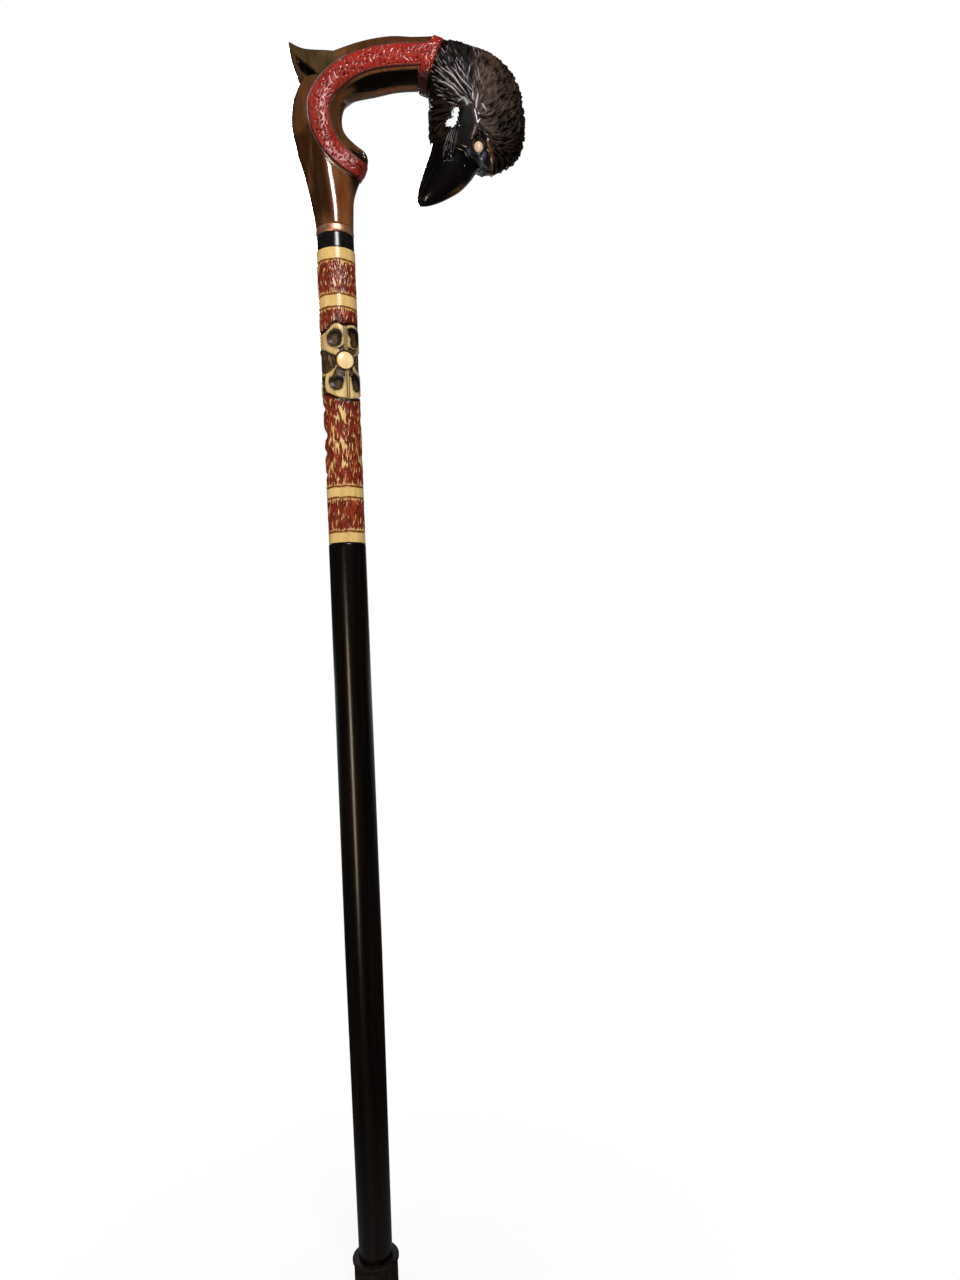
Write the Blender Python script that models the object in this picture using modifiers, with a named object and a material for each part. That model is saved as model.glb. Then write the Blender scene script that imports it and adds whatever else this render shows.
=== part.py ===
"""A carved walking cane with a bird's head on its crook.

Metres, +Z up. The cane stands on its rubber foot at the origin, with its shaft along the Z axis.
The crook lies in the XZ plane, with its spur toward -X and the bird's head toward +X.
"""

import math

import bmesh
import bpy
import numpy as np
from mathutils import Matrix, Vector

# Clearance between two pieces that touch
SEAT_GAP = 0.0003

# Rubber foot and its steel disc
FOOT_HEIGHT = 0.040
FOOT_FLOOR = 0.010
FOOT_WALL = 0.0034
FOOT_LIP_PROUD = 0.0010
FOOT_LIP_HEIGHT = 0.0032
FOOT_FLARE = 0.0026
FOOT_FLARE_HEIGHT = 0.0090
TREAD_DEPTH = 0.0012
TREAD_LAND_RADIUS = 0.0055
TREAD_GROOVE = 0.0022
DISC_RADIUS = 0.0095
DISC_THICKNESS = 0.0015

# Lower shaft
SHAFT_LENGTH = 0.5280
SHAFT_FOOT_RADIUS = 0.0115
SHAFT_TOP_RADIUS = 0.0130
SHAFT_TAPER_LENGTH = 0.2400
SHAFT_BEVEL = 0.0008

# Carved section, its zones from the bottom up
CARVED_BOTTOM_RADIUS = 0.0128
CARVED_TOP_RADIUS = 0.0135
BOTTOM_BAND = 0.0074
LOW_CHIPS = 0.0234
LOW_BAND = 0.0078
LONG_CHIPS = 0.0611
FLOWER_HEIGHT = 0.0515
SHORT_CHIPS = 0.0112
HIGH_BAND = 0.0091
HIGH_CHIPS = 0.0237
TOP_BAND = 0.0084
CHIP_DEPTH = 0.0002
FLOWER_PROUD = 0.0004
TOP_BAND_PROUD = 0.0006
BURNT_LINE_WIDTH = 0.0010
BURNT_LINE_DEPTH = 0.0005

# Flowers, one on each side of the carved section, and their buttons
FLOWER_ANGLE = math.radians(-66)
BUTTON_RADIUS = 0.0061
BUTTON_PROUD = 0.0010
BUTTON_THICKNESS = 0.0030
# Crown of a button: share of its radius, drop below its middle
BUTTON_CROWN = ((0.0, 0.0), (0.55, 0.0002), (0.88, 0.0006), (1.0, 0.0012))
PETAL_ANGLE = math.radians(34)
PETAL_RISE = 0.0150
PETAL_WIDTH = 0.0100
PETAL_LENGTH = 0.0130
PETAL_DEPTH = 0.0022
PETAL_LEAN = math.radians(14)
LEAF_ANGLE = math.radians(62)
LEAF_RISE = 0.0062
LEAF_WIDTH = 0.0110
LEAF_LENGTH = 0.0085
LEAF_DEPTH = 0.0016
VEIN_WIDTH = 0.0009
VEIN_DEPTH = 0.0012

# Studs and their threaded inserts
STUD_RADIUS = 0.0040
STUD_LENGTH = 0.0200
INSERT_WALL = 0.0020
INSERT_LENGTH = 0.0220

# Rings under the handle
BLACK_RING_RADIUS = 0.0130
BLACK_RING_HEIGHT = 0.0109
COPPER_RING_RADIUS = 0.0132
COPPER_RING_HEIGHT = 0.0053
COPPER_RING_WALL = 0.0014
COPPER_RING_CROWN = 0.0004
COPPER_RING_SLOPE = 0.0013

# Handle
HANDLE_FOOT_RADIUS = 0.0131
STRIP_DEPTH = 0.0015
STRIP_PROUD = 0.0007
STRIP_REACH = 0.030
SCOOP_CENTRE = (-0.0140, 0.0115, 0.1092)
SCOOP_SIZE = (0.0088, 0.0052, 0.0068)

# Joint between the crook and the bird's head
JOINT_LEAN = math.radians(23)
JOINT_CENTRE = (0.0686, 0.1140)
COLLAR_WIDTH = 0.0085
COLLAR_PROUD = 0.0011
COLLAR_HALF_LENGTH = 0.0170
COLLAR_HALF_THICKNESS = 0.0143
COLLAR_SQUARENESS = 2.8
DOWEL_RADIUS = 0.0040
DOWEL_INTO_HANDLE = 0.018
DOWEL_INTO_HEAD = 0.024

# Bird's head, beak and eyes, placed from the centre of the collar's outer face
LOCK_DEPTH = 0.0007
LOCKS_START = 3
LOCKS_END = 4
TENON_INSET = 0.0075
TENON_LENGTH = 0.0090
TENON_HALF_THICKNESS = 0.0060
TENON_SQUARENESS = 2.4
EYE_PLACE = (0.0266, -0.0621)
EYE_DEPTH = 0.0121
EYE_SIZE = (0.0029, 0.0022, 0.0036)
SOCKET_DEPTH = 0.0152
SOCKET_SIZE = (0.0064, 0.0034, 0.0050)
SOCKET_LEAN = math.radians(28)

# How far a cutter runs past the face that it opens
OVERRUN = 0.0020

# A section of this squareness is an ellipse, and a higher one is closer to a rectangle
ROUND = 2.0

# Fineness of the facets
SHAFT_STEPS = 32
CARVED_STEPS = 32
STUD_STEPS = 16
ELLIPSOID_STEPS = 14
ELLIPSOID_RINGS = 8
HOLLOW_STEPS = 12
HOLLOW_RINGS = 8
HANDLE_POINTS = 24
HEAD_POINTS = 20
BEAK_POINTS = 16
CROOK_SPAN_STEPS = 2
STRIP_SPAN_STEPS = 3
HEAD_SPAN_STEPS = 3
SHARP_ANGLE = math.radians(40)
MERGE_DISTANCE = 0.00002

# Outline of the crook, from the foot of the neck to the collar, measured from the handle's foot.
# Each row: inner x and z, outer x and z, half thickness, squareness of the section.
HANDLE_ROWS = (
    (0.0136, 0.0104, -0.0144, 0.0104, 0.0134, 2.0),
    (0.0143, 0.0207, -0.0162, 0.0207, 0.0136, 2.1),
    (0.0173, 0.0301, -0.0181, 0.0301, 0.0138, 2.1),
    (0.0216, 0.0389, -0.0199, 0.0389, 0.0138, 2.2),
    (0.0250, 0.0456, -0.0216, 0.0451, 0.0138, 2.2),
    (0.0244, 0.0524, -0.0236, 0.0518, 0.0138, 2.3),
    (0.0182, 0.0581, -0.0248, 0.0591, 0.0138, 2.3),
    (0.0120, 0.0642, -0.0263, 0.0662, 0.0138, 2.4),
    (0.0090, 0.0697, -0.0270, 0.0732, 0.0139, 2.5),
    (0.0079, 0.0752, -0.0266, 0.0812, 0.0139, 2.6),
    (0.0080, 0.0812, -0.0249, 0.0897, 0.0140, 2.7),
    (0.0097, 0.0871, -0.0209, 0.0986, 0.0140, 2.7),
    (0.0130, 0.0909, -0.0146, 0.1084, 0.0140, 2.7),
    (0.0175, 0.0930, -0.0040, 0.1186, 0.0140, 2.8),
    (0.0236, 0.0941, 0.0100, 0.1244, 0.0140, 2.8),
    (0.0315, 0.0951, 0.0270, 0.1291, 0.0140, 2.8),
    (0.0440, 0.0975, 0.0450, 0.1313, 0.0139, 2.8),
    (0.0535, 0.0983, 0.0605, 0.1301, 0.0138, 2.8),
)

# The spur behind the crook, in the same frame and with the same row
SPUR_ROWS = (
    (-0.0120, 0.1002, 0.0160, 0.1220, 0.0110, 2.4),
    (-0.0202, 0.1037, 0.0040, 0.1244, 0.0105, 2.4),
    (-0.0224, 0.1092, -0.0070, 0.1256, 0.0090, 2.4),
    (-0.0246, 0.1157, -0.0145, 0.1270, 0.0072, 2.3),
    (-0.0261, 0.1222, -0.0198, 0.1292, 0.0054, 2.2),
    (-0.0269, 0.1282, -0.0237, 0.1318, 0.0034, 2.1),
    (-0.0271, 0.1328, -0.0266, 0.1338, 0.0014, 2.0),
)

# Middle line of the red strip in the same frame, from the collar to the thumb rest: x, z, width
STRIP_ROWS = (
    (0.0480, 0.1132, 0.0150),
    (0.0300, 0.1109, 0.0148),
    (0.0140, 0.1050, 0.0146),
    (0.0023, 0.0960, 0.0143),
    (-0.0046, 0.0862, 0.0140),
    (-0.0059, 0.0762, 0.0139),
    (-0.0028, 0.0622, 0.0136),
    (0.0050, 0.0502, 0.0126),
    (0.0145, 0.0427, 0.0116),
    (0.0270, 0.0368, 0.0108),
)
STRIP_WIDTH_AT_COLLAR = 0.0152
STRIP_DROP_AT_COLLAR = 0.0008

# Outline of the bird's head, from the collar to the face, measured from the collar's outer face
HEAD_ROWS = (
    (-0.0066, -0.0156, 0.0070, 0.0165, 0.0152, 2.6),
    (-0.0069, -0.0185, 0.0154, 0.0158, 0.0160, 2.5),
    (-0.0071, -0.0219, 0.0272, 0.0112, 0.0172, 2.4),
    (-0.0073, -0.0255, 0.0401, 0.0059, 0.0184, 2.3),
    (-0.0075, -0.0292, 0.0507, -0.0036, 0.0192, 2.3),
    (-0.0078, -0.0331, 0.0575, -0.0155, 0.0196, 2.3),
    (-0.0081, -0.0371, 0.0604, -0.0293, 0.0196, 2.3),
    (-0.0084, -0.0411, 0.0609, -0.0435, 0.0193, 2.3),
    (-0.0084, -0.0441, 0.0592, -0.0561, 0.0186, 2.3),
    (-0.0081, -0.0471, 0.0540, -0.0661, 0.0174, 2.2),
    (-0.0076, -0.0496, 0.0446, -0.0722, 0.0160, 2.2),
    (-0.0069, -0.0516, 0.0348, -0.0736, 0.0145, 2.2),
    (-0.0059, -0.0536, 0.0276, -0.0711, 0.0125, 2.1),
)

# Outline of the beak in the same frame, from the face to the tip
BEAK_ROWS = (
    (-0.0059, -0.0536, 0.0276, -0.0711, 0.0120, 2.1),
    (-0.0084, -0.0621, 0.0201, -0.0796, 0.0106, 2.0),
    (-0.0116, -0.0701, 0.0131, -0.0861, 0.0090, 2.0),
    (-0.0141, -0.0766, 0.0046, -0.0908, 0.0073, 2.0),
    (-0.0161, -0.0826, -0.0034, -0.0941, 0.0056, 2.0),
    (-0.0173, -0.0886, -0.0104, -0.0958, 0.0036, 2.0),
    (-0.0175, -0.0936, -0.0159, -0.0959, 0.0013, 2.0),
)

# Heights of the stack, worked out from the sizes above
DISC_BOTTOM = FOOT_FLOOR + SEAT_GAP
SHAFT_BOTTOM = DISC_BOTTOM + DISC_THICKNESS + SEAT_GAP
CARVED_BOTTOM = SHAFT_BOTTOM + SHAFT_LENGTH + SEAT_GAP
CARVED_ZONES = (
    (BOTTOM_BAND, 0.0),
    (LOW_CHIPS, CHIP_DEPTH),
    (LOW_BAND, 0.0),
    (LONG_CHIPS, CHIP_DEPTH),
    (FLOWER_HEIGHT, -FLOWER_PROUD),
    (SHORT_CHIPS, CHIP_DEPTH),
    (HIGH_BAND, 0.0),
    (HIGH_CHIPS, CHIP_DEPTH),
    (TOP_BAND, -TOP_BAND_PROUD),
)
CARVED_LENGTH = sum(height for height, depth in CARVED_ZONES)
FLOWER_CENTRE = BOTTOM_BAND + LOW_CHIPS + LOW_BAND + LONG_CHIPS + FLOWER_HEIGHT / 2
BUTTON_SEAT = (CARVED_BOTTOM_RADIUS + CARVED_TOP_RADIUS) / 2 + FLOWER_PROUD + BUTTON_PROUD - BUTTON_THICKNESS
BLACK_RING_BOTTOM = CARVED_BOTTOM + CARVED_LENGTH + SEAT_GAP
COPPER_RING_BOTTOM = BLACK_RING_BOTTOM + BLACK_RING_HEIGHT + SEAT_GAP
HANDLE_BOTTOM = COPPER_RING_BOTTOM + COPPER_RING_HEIGHT + SEAT_GAP
SPIGOT_RADIUS = COPPER_RING_RADIUS - COPPER_RING_WALL - SEAT_GAP
SPIGOT_LENGTH = COPPER_RING_HEIGHT + SEAT_GAP
STUD_BORE = STUD_RADIUS + SEAT_GAP
INSERT_RADIUS = STUD_BORE + INSERT_WALL
INSERT_BORE = INSERT_RADIUS + SEAT_GAP
INSERT_BORE_DEPTH = INSERT_LENGTH + 2 * SEAT_GAP

# Directions of the joint in the XZ plane, and the centres of the collar's two faces from the handle's foot
JOINT_UP = Vector((math.sin(JOINT_LEAN), 0.0, math.cos(JOINT_LEAN)))
JOINT_ALONG = Vector((math.cos(JOINT_LEAN), 0.0, -math.sin(JOINT_LEAN)))
COLLAR_INNER = Vector((JOINT_CENTRE[0], 0.0, JOINT_CENTRE[1]))
COLLAR_OUTER = COLLAR_INNER + JOINT_ALONG * COLLAR_WIDTH


def clear_scene():
    for obj in list(bpy.data.objects):
        bpy.data.objects.remove(obj, do_unlink=True)


def new_collection(name):
    collection = bpy.data.collections.new(name)
    bpy.context.scene.collection.children.link(collection)
    return collection


def finish_of(name, colour, roughness, metallic=0.0):
    """A Principled material; the colour is in 8-bit steps of sRGB."""
    material = bpy.data.materials.new(name)
    material.use_nodes = True
    shader = material.node_tree.nodes["Principled BSDF"]
    linear = [((step / 255 + 0.055) / 1.055) ** 2.4 for step in colour]
    shader.inputs["Base Color"].default_value = (*linear, 1.0)
    shader.inputs["Roughness"].default_value = roughness
    shader.inputs["Metallic"].default_value = metallic
    return material


def add_object(name, mesh, collection, parent=None, location=(0.0, 0.0, 0.0)):
    obj = bpy.data.objects.new(name, mesh)
    collection.objects.link(obj)
    obj.parent = parent
    obj.location = location
    return obj


def as_cutter(obj):
    obj.hide_render = True
    obj.display_type = "WIRE"
    return obj


def mesh_from(name, shape):
    """A mesh from a bmesh, with its faces pointing out and shaded smooth across shallow edges."""
    bmesh.ops.recalc_face_normals(shape, faces=shape.faces)
    mesh = bpy.data.meshes.new(name)
    shape.to_mesh(mesh)
    shape.free()
    mesh.shade_smooth()
    mesh.set_sharp_from_angle(angle=SHARP_ANGLE)
    return mesh


def boolean(obj, cutter, operation="DIFFERENCE"):
    modifier = obj.modifiers.new(cutter.name, "BOOLEAN")
    modifier.operation = operation
    modifier.solver = "EXACT"
    modifier.object = cutter


def turned_mesh(name, profile, closed=False):
    """The edge line of a turned shape; the profile runs down its outer side as (radius, height)."""
    mesh = bpy.data.meshes.new(name)
    count = len(profile)
    edges = [(index, index + 1) for index in range(count - 1)]
    if closed:
        edges.append((count - 1, 0))
    mesh.from_pydata([(radius, 0.0, height) for radius, height in profile], edges, [])
    return mesh


def turn(obj, steps):
    screw = obj.modifiers.new("Turn", "SCREW")
    screw.axis = "Z"
    screw.steps = steps
    screw.render_steps = steps
    screw.use_merge_vertices = True
    screw.merge_threshold = MERGE_DISTANCE
    screw.use_smooth_shade = True
    return obj


def tube_profile(outer, inner, height):
    return [(outer, height), (outer, 0.0), (inner, 0.0), (inner, height)]


def rod_profile(radius, length, bevel):
    return [
        (0.0, length),
        (radius - bevel, length),
        (radius, length - bevel),
        (radius, bevel),
        (radius - bevel, 0.0),
        (0.0, 0.0),
    ]


def cylinder_mesh(name, radius, length, segments):
    """A cylinder about its own Z axis, from 0 up to its length."""
    shape = bmesh.new()
    bmesh.ops.create_cone(
        shape,
        cap_ends=True,
        segments=segments,
        radius1=radius,
        radius2=radius,
        depth=length,
        matrix=Matrix.Translation((0.0, 0.0, length / 2)),
    )
    return mesh_from(name, shape)


def ellipsoid_mesh(name, size, segments=ELLIPSOID_STEPS, rings=ELLIPSOID_RINGS):
    """An ellipsoid with the given half sizes along X, Y and Z."""
    shape = bmesh.new()
    bmesh.ops.create_uvsphere(
        shape, u_segments=segments, v_segments=rings, radius=1.0, matrix=Matrix.Diagonal((*size, 1.0))
    )
    return mesh_from(name, shape)


def smooth_rows(rows, steps):
    """The rows and those between them, on a smooth curve through the rows, with this many steps a span."""
    rows = np.array(rows, float)
    padded = np.vstack([2 * rows[0] - rows[1], rows, 2 * rows[-1] - rows[-2]])
    found = []
    for before, start, end, after in zip(padded, padded[1:], padded[2:], padded[3:]):
        for step in range(steps):
            t = step / steps
            first = 2 * start + (end - before) * t
            second = (2 * before - 5 * start + 4 * end - after) * t**2
            third = (3 * start - before - 3 * end + after) * t**3
            found.append((first + second + third) / 2)
    found.append(rows[-1])
    return found


def rounded(value, squareness):
    return math.copysign(abs(value) ** (2 / squareness), value)


def section(inner, outer, half_thickness, squareness, points, grow=0.0):
    """A ring of points: a superellipse between two points of the XZ plane, thick along Y."""
    centre = (inner + outer) / 2
    along = (outer - inner).normalized()
    reach = (outer - inner).length / 2 + grow
    ring = []
    for index in range(points):
        angle = 2 * math.pi * index / points
        across = rounded(math.cos(angle), squareness) * reach
        depth = rounded(math.sin(angle), squareness) * (half_thickness + grow)
        ring.append(centre + along * across + Vector((0.0, depth, 0.0)))
    return ring


def section_of_row(row, points, grow=0.0):
    """The section that an outline row describes."""
    inner_x, inner_z, outer_x, outer_z, half_thickness, squareness = row
    inner = Vector((inner_x, 0.0, inner_z))
    outer = Vector((outer_x, 0.0, outer_z))
    return section(inner, outer, half_thickness, squareness, points, grow)


def loft_mesh(name, rings):
    """One closed body through rings of equally many points, with flat ends."""
    shape = bmesh.new()
    loops = [[shape.verts.new(point) for point in ring] for ring in rings]
    for lower, upper in zip(loops, loops[1:]):
        for index in range(len(lower)):
            after = (index + 1) % len(lower)
            shape.faces.new((lower[index], lower[after], upper[after], upper[index]))
    shape.faces.new(loops[0])
    shape.faces.new(loops[-1])
    return mesh_from(name, shape)


def make_foot(parts, material):
    inner = SHAFT_FOOT_RADIUS + SEAT_GAP
    outer = inner + FOOT_WALL
    lip = outer + FOOT_LIP_PROUD
    base = outer + FOOT_FLARE
    lip_bottom = FOOT_HEIGHT - FOOT_LIP_HEIGHT
    edge = FOOT_LIP_PROUD
    groove_start = TREAD_LAND_RADIUS
    profile = [
        (inner, FOOT_HEIGHT),
        (lip - edge, FOOT_HEIGHT),
        (lip, FOOT_HEIGHT - edge),
        (lip, lip_bottom + edge),
        (outer, lip_bottom),
        (outer, FOOT_FLARE_HEIGHT + FOOT_FLARE),
        (base, FOOT_FLARE_HEIGHT),
        (base, edge),
        (base - edge, 0.0),
    ]
    while groove_start + 2 * TREAD_GROOVE < base - edge:
        profile[9:9] = [
            (groove_start + TREAD_GROOVE, 0.0),
            (groove_start + TREAD_GROOVE, TREAD_DEPTH),
            (groove_start, TREAD_DEPTH),
            (groove_start, 0.0),
        ]
        groove_start += 2 * TREAD_GROOVE
    profile += [(0.0, 0.0), (0.0, FOOT_FLOOR), (inner, FOOT_FLOOR)]
    foot = add_object("rubber_foot", turned_mesh("rubber_foot", profile, closed=True), parts)
    turn(foot, SHAFT_STEPS)
    foot.data.materials.append(material)


def make_disc(parts, material):
    mesh = cylinder_mesh("foot_disc", DISC_RADIUS, DISC_THICKNESS, STUD_STEPS)
    disc = add_object("foot_disc", mesh, parts, location=(0.0, 0.0, DISC_BOTTOM))
    disc.data.materials.append(material)


def make_lower_shaft(parts, material):
    bore_floor = SHAFT_LENGTH - INSERT_BORE_DEPTH
    profile = [
        (0.0, bore_floor),
        (INSERT_BORE, bore_floor),
        (INSERT_BORE, SHAFT_LENGTH),
        (SHAFT_TOP_RADIUS - SHAFT_BEVEL, SHAFT_LENGTH),
        (SHAFT_TOP_RADIUS, SHAFT_LENGTH - SHAFT_BEVEL),
        (SHAFT_TOP_RADIUS, SHAFT_TAPER_LENGTH),
        (SHAFT_FOOT_RADIUS, SHAFT_BEVEL),
        (SHAFT_FOOT_RADIUS - SHAFT_BEVEL, 0.0),
        (0.0, 0.0),
    ]
    mesh = turned_mesh("lower_shaft", profile)
    shaft = add_object("lower_shaft", mesh, parts, location=(0.0, 0.0, SHAFT_BOTTOM))
    turn(shaft, SHAFT_STEPS)
    shaft.data.materials.append(material)


def make_insert(name, parts, material, top):
    """A threaded insert whose upper end lies at the given height."""
    profile = tube_profile(INSERT_RADIUS, STUD_BORE, INSERT_LENGTH)
    insert = add_object(name, turned_mesh(name, profile, closed=True), parts)
    insert.location.z = top - INSERT_LENGTH
    turn(insert, STUD_STEPS)
    insert.data.materials.append(material)


def make_stud(name, parts, material, low, high):
    profile = rod_profile(STUD_RADIUS, high - low, SEAT_GAP)
    stud = add_object(name, turned_mesh(name, profile), parts, location=(0.0, 0.0, low))
    turn(stud, STUD_STEPS)
    stud.data.materials.append(material)


def carved_radius(height):
    """Radius of the plain bands at a height of the carved section."""
    share = height / CARVED_LENGTH
    return CARVED_BOTTOM_RADIUS + (CARVED_TOP_RADIUS - CARVED_BOTTOM_RADIUS) * share


def carved_profile():
    """The outer side of the carved section, top to bottom, with a burnt line at each zone's edge."""
    side = [(carved_radius(0.0), 0.0)]
    height = 0.0
    half_line = BURNT_LINE_WIDTH / 2
    for (zone, depth), (following, next_depth) in zip(CARVED_ZONES, CARVED_ZONES[1:]):
        height += zone
        radius = carved_radius(height)
        side.append((radius - depth, height - half_line))
        side.append((radius - CHIP_DEPTH - BURNT_LINE_DEPTH, height))
        side.append((radius - next_depth, height + half_line))
    side.append((carved_radius(CARVED_LENGTH) + TOP_BAND_PROUD, CARVED_LENGTH))
    return side[::-1]


def hollow(name, cutters, angle, height, size, lean):
    """An ellipsoid on the carved section's surface; size is its width, length and depth."""
    width, length, depth = size
    radius = carved_radius(height) + FLOWER_PROUD
    mesh = ellipsoid_mesh(name, (depth, width / 2, length / 2), HOLLOW_STEPS, HOLLOW_RINGS)
    cutter = as_cutter(add_object(name, mesh, cutters))
    turned_out = Matrix.Rotation(angle, 4, "Z") @ Matrix.Translation((radius, 0.0, height))
    cutter.matrix_world = Matrix.Translation((0.0, 0.0, CARVED_BOTTOM)) @ turned_out @ Matrix.Rotation(
        lean, 4, "X"
    )
    return cutter


def flower_cutters(side, cutters, facing):
    """The petals' hollows, the leaves' hollows, the veins and the button's seat of one flower."""
    made = []
    for right in (-1, 1):
        for up in (-1, 1):
            name = f"{side}_petal_{right}_{up}"
            angle = facing + right * PETAL_ANGLE
            height = FLOWER_CENTRE + up * PETAL_RISE
            size = (PETAL_WIDTH, PETAL_LENGTH, PETAL_DEPTH)
            made.append(hollow(name, cutters, angle, height, size, -right * up * PETAL_LEAN))
            name = f"{side}_leaf_{right}_{up}"
            angle = facing + right * LEAF_ANGLE
            height = FLOWER_CENTRE + up * LEAF_RISE
            size = (LEAF_WIDTH, LEAF_LENGTH, LEAF_DEPTH)
            made.append(hollow(name, cutters, angle, height, size, -right * up * PETAL_LEAN))
    vein_length = FLOWER_HEIGHT / 2 - BUTTON_RADIUS - BURNT_LINE_WIDTH
    for up in (-1, 1):
        name = f"{side}_vein_{up}"
        height = FLOWER_CENTRE + up * (BUTTON_RADIUS + vein_length / 2)
        size = (VEIN_WIDTH, vein_length, VEIN_DEPTH)
        made.append(hollow(name, cutters, facing, height, size, 0.0))
    floor = BUTTON_SEAT - SEAT_GAP
    mesh = cylinder_mesh(f"{side}_seat", BUTTON_RADIUS + SEAT_GAP, BUTTON_THICKNESS * 2, STUD_STEPS)
    seat = as_cutter(add_object(f"{side}_seat", mesh, cutters))
    seat.matrix_world = button_frame(facing, floor)
    made.append(seat)
    return made


def button_frame(facing, radius):
    """The frame of a flower's button: its Z axis points out, from this radius."""
    centre = Matrix.Translation((0.0, 0.0, CARVED_BOTTOM + FLOWER_CENTRE))
    outward = Matrix.Rotation(facing, 4, "Z") @ Matrix.Translation((radius, 0.0, 0.0))
    return centre @ outward @ Matrix.Rotation(math.pi / 2, 4, "Y")


def make_button(name, parts, material, facing):
    profile = [(BUTTON_RADIUS * share, BUTTON_THICKNESS - drop) for share, drop in BUTTON_CROWN]
    profile += [(BUTTON_RADIUS, 0.0), (0.0, 0.0)]
    button = add_object(name, turned_mesh(name, profile), parts)
    turn(button, STUD_STEPS)
    button.matrix_world = button_frame(facing, BUTTON_SEAT)
    button.data.materials.append(material)


def make_carved_section(parts, cutters, material):
    lower_bore = STUD_LENGTH + SEAT_GAP
    upper_bore = CARVED_LENGTH - INSERT_BORE_DEPTH
    top = [(0.0, upper_bore), (INSERT_BORE, upper_bore), (INSERT_BORE, CARVED_LENGTH)]
    bottom = [(STUD_BORE, 0.0), (STUD_BORE, lower_bore), (0.0, lower_bore)]
    mesh = turned_mesh("carved_section", top + carved_profile() + bottom)
    carved = add_object("carved_section", mesh, parts, location=(0.0, 0.0, CARVED_BOTTOM))
    turn(carved, CARVED_STEPS)
    for side, facing in (("front", FLOWER_ANGLE), ("back", FLOWER_ANGLE + math.pi)):
        for cutter in flower_cutters(side, cutters, facing):
            boolean(carved, cutter)
    carved.data.materials.append(material)


def make_black_ring(parts, material):
    profile = tube_profile(BLACK_RING_RADIUS, STUD_BORE, BLACK_RING_HEIGHT)
    bevel = SEAT_GAP
    profile[0:2] = [
        (BLACK_RING_RADIUS - bevel, BLACK_RING_HEIGHT),
        (BLACK_RING_RADIUS, BLACK_RING_HEIGHT - bevel),
        (BLACK_RING_RADIUS, bevel),
        (BLACK_RING_RADIUS - bevel, 0.0),
    ]
    ring = add_object("black_ring", turned_mesh("black_ring", profile, closed=True), parts)
    ring.location.z = BLACK_RING_BOTTOM
    turn(ring, SHAFT_STEPS)
    ring.data.materials.append(material)


def make_copper_ring(parts, material):
    inner = COPPER_RING_RADIUS - COPPER_RING_WALL
    profile = [
        (COPPER_RING_RADIUS - COPPER_RING_CROWN, COPPER_RING_HEIGHT),
        (COPPER_RING_RADIUS, COPPER_RING_HEIGHT - COPPER_RING_SLOPE),
        (COPPER_RING_RADIUS, COPPER_RING_SLOPE),
        (COPPER_RING_RADIUS - COPPER_RING_CROWN, 0.0),
        (inner, 0.0),
        (inner, COPPER_RING_HEIGHT),
    ]
    ring = add_object("copper_ring", turned_mesh("copper_ring", profile, closed=True), parts)
    ring.location.z = COPPER_RING_BOTTOM
    turn(ring, SHAFT_STEPS)
    ring.data.materials.append(material)


def joint_section(centre, points, grow=0.0):
    reach = JOINT_UP * COLLAR_HALF_LENGTH
    inner, outer = centre - reach, centre + reach
    return section(inner, outer, COLLAR_HALF_THICKNESS, COLLAR_SQUARENESS, points, grow)


def crook_rings(grow, overrun):
    """Sections of the crook from its foot to the collar, grown all round and overrunning the collar face."""
    foot_row = (HANDLE_FOOT_RADIUS, 0.0, -HANDLE_FOOT_RADIUS, 0.0, HANDLE_FOOT_RADIUS, ROUND)
    rows = smooth_rows((foot_row, *HANDLE_ROWS), CROOK_SPAN_STEPS)
    rings = [section_of_row(row, HANDLE_POINTS, grow) for row in rows]
    end = COLLAR_INNER + JOINT_ALONG * overrun
    rings.append(joint_section(end, HANDLE_POINTS, grow))
    return rings


def spigot_rings():
    """The round spigot under the handle's foot, which the copper ring sits on."""
    rings = []
    for height in (-SPIGOT_LENGTH, 0.0):
        inner = Vector((SPIGOT_RADIUS, 0.0, height))
        outer = Vector((-SPIGOT_RADIUS, 0.0, height))
        rings.append(section(inner, outer, SPIGOT_RADIUS, ROUND, HANDLE_POINTS))
    return rings


def strip_prism(name, collection, frame, clearance, overrun, near, far):
    """The red strip's outline on the XZ plane, widened by the clearance, from y = near to y = far."""
    start = COLLAR_INNER - JOINT_UP * STRIP_DROP_AT_COLLAR + JOINT_ALONG * overrun
    first = (start.x, start.z, STRIP_WIDTH_AT_COLLAR)
    line = smooth_rows((first, *STRIP_ROWS), STRIP_SPAN_STEPS)
    shape = bmesh.new()
    edges = []
    for index, (x, z, width) in enumerate(line):
        before, after = line[max(index - 1, 0)], line[min(index + 1, len(line) - 1)]
        along = Vector((after[0] - before[0], 0.0, after[1] - before[1])).normalized()
        across = Vector((along.z, 0.0, -along.x))
        centre = Vector((x, near, z))
        reach = (across if index else JOINT_UP) * (width / 2 + clearance)
        edges.append((shape.verts.new(centre - reach), shape.verts.new(centre + reach)))
    for (low, high), (next_low, next_high) in zip(edges, edges[1:]):
        shape.faces.new((low, high, next_high, next_low))
    swept = bmesh.ops.extrude_face_region(shape, geom=shape.faces[:])
    moved = [item for item in swept["geom"] if isinstance(item, bmesh.types.BMVert)]
    bmesh.ops.translate(shape, verts=moved, vec=(0.0, far - near, 0.0))
    return add_object(name, mesh_from(name, shape), collection, frame)


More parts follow.
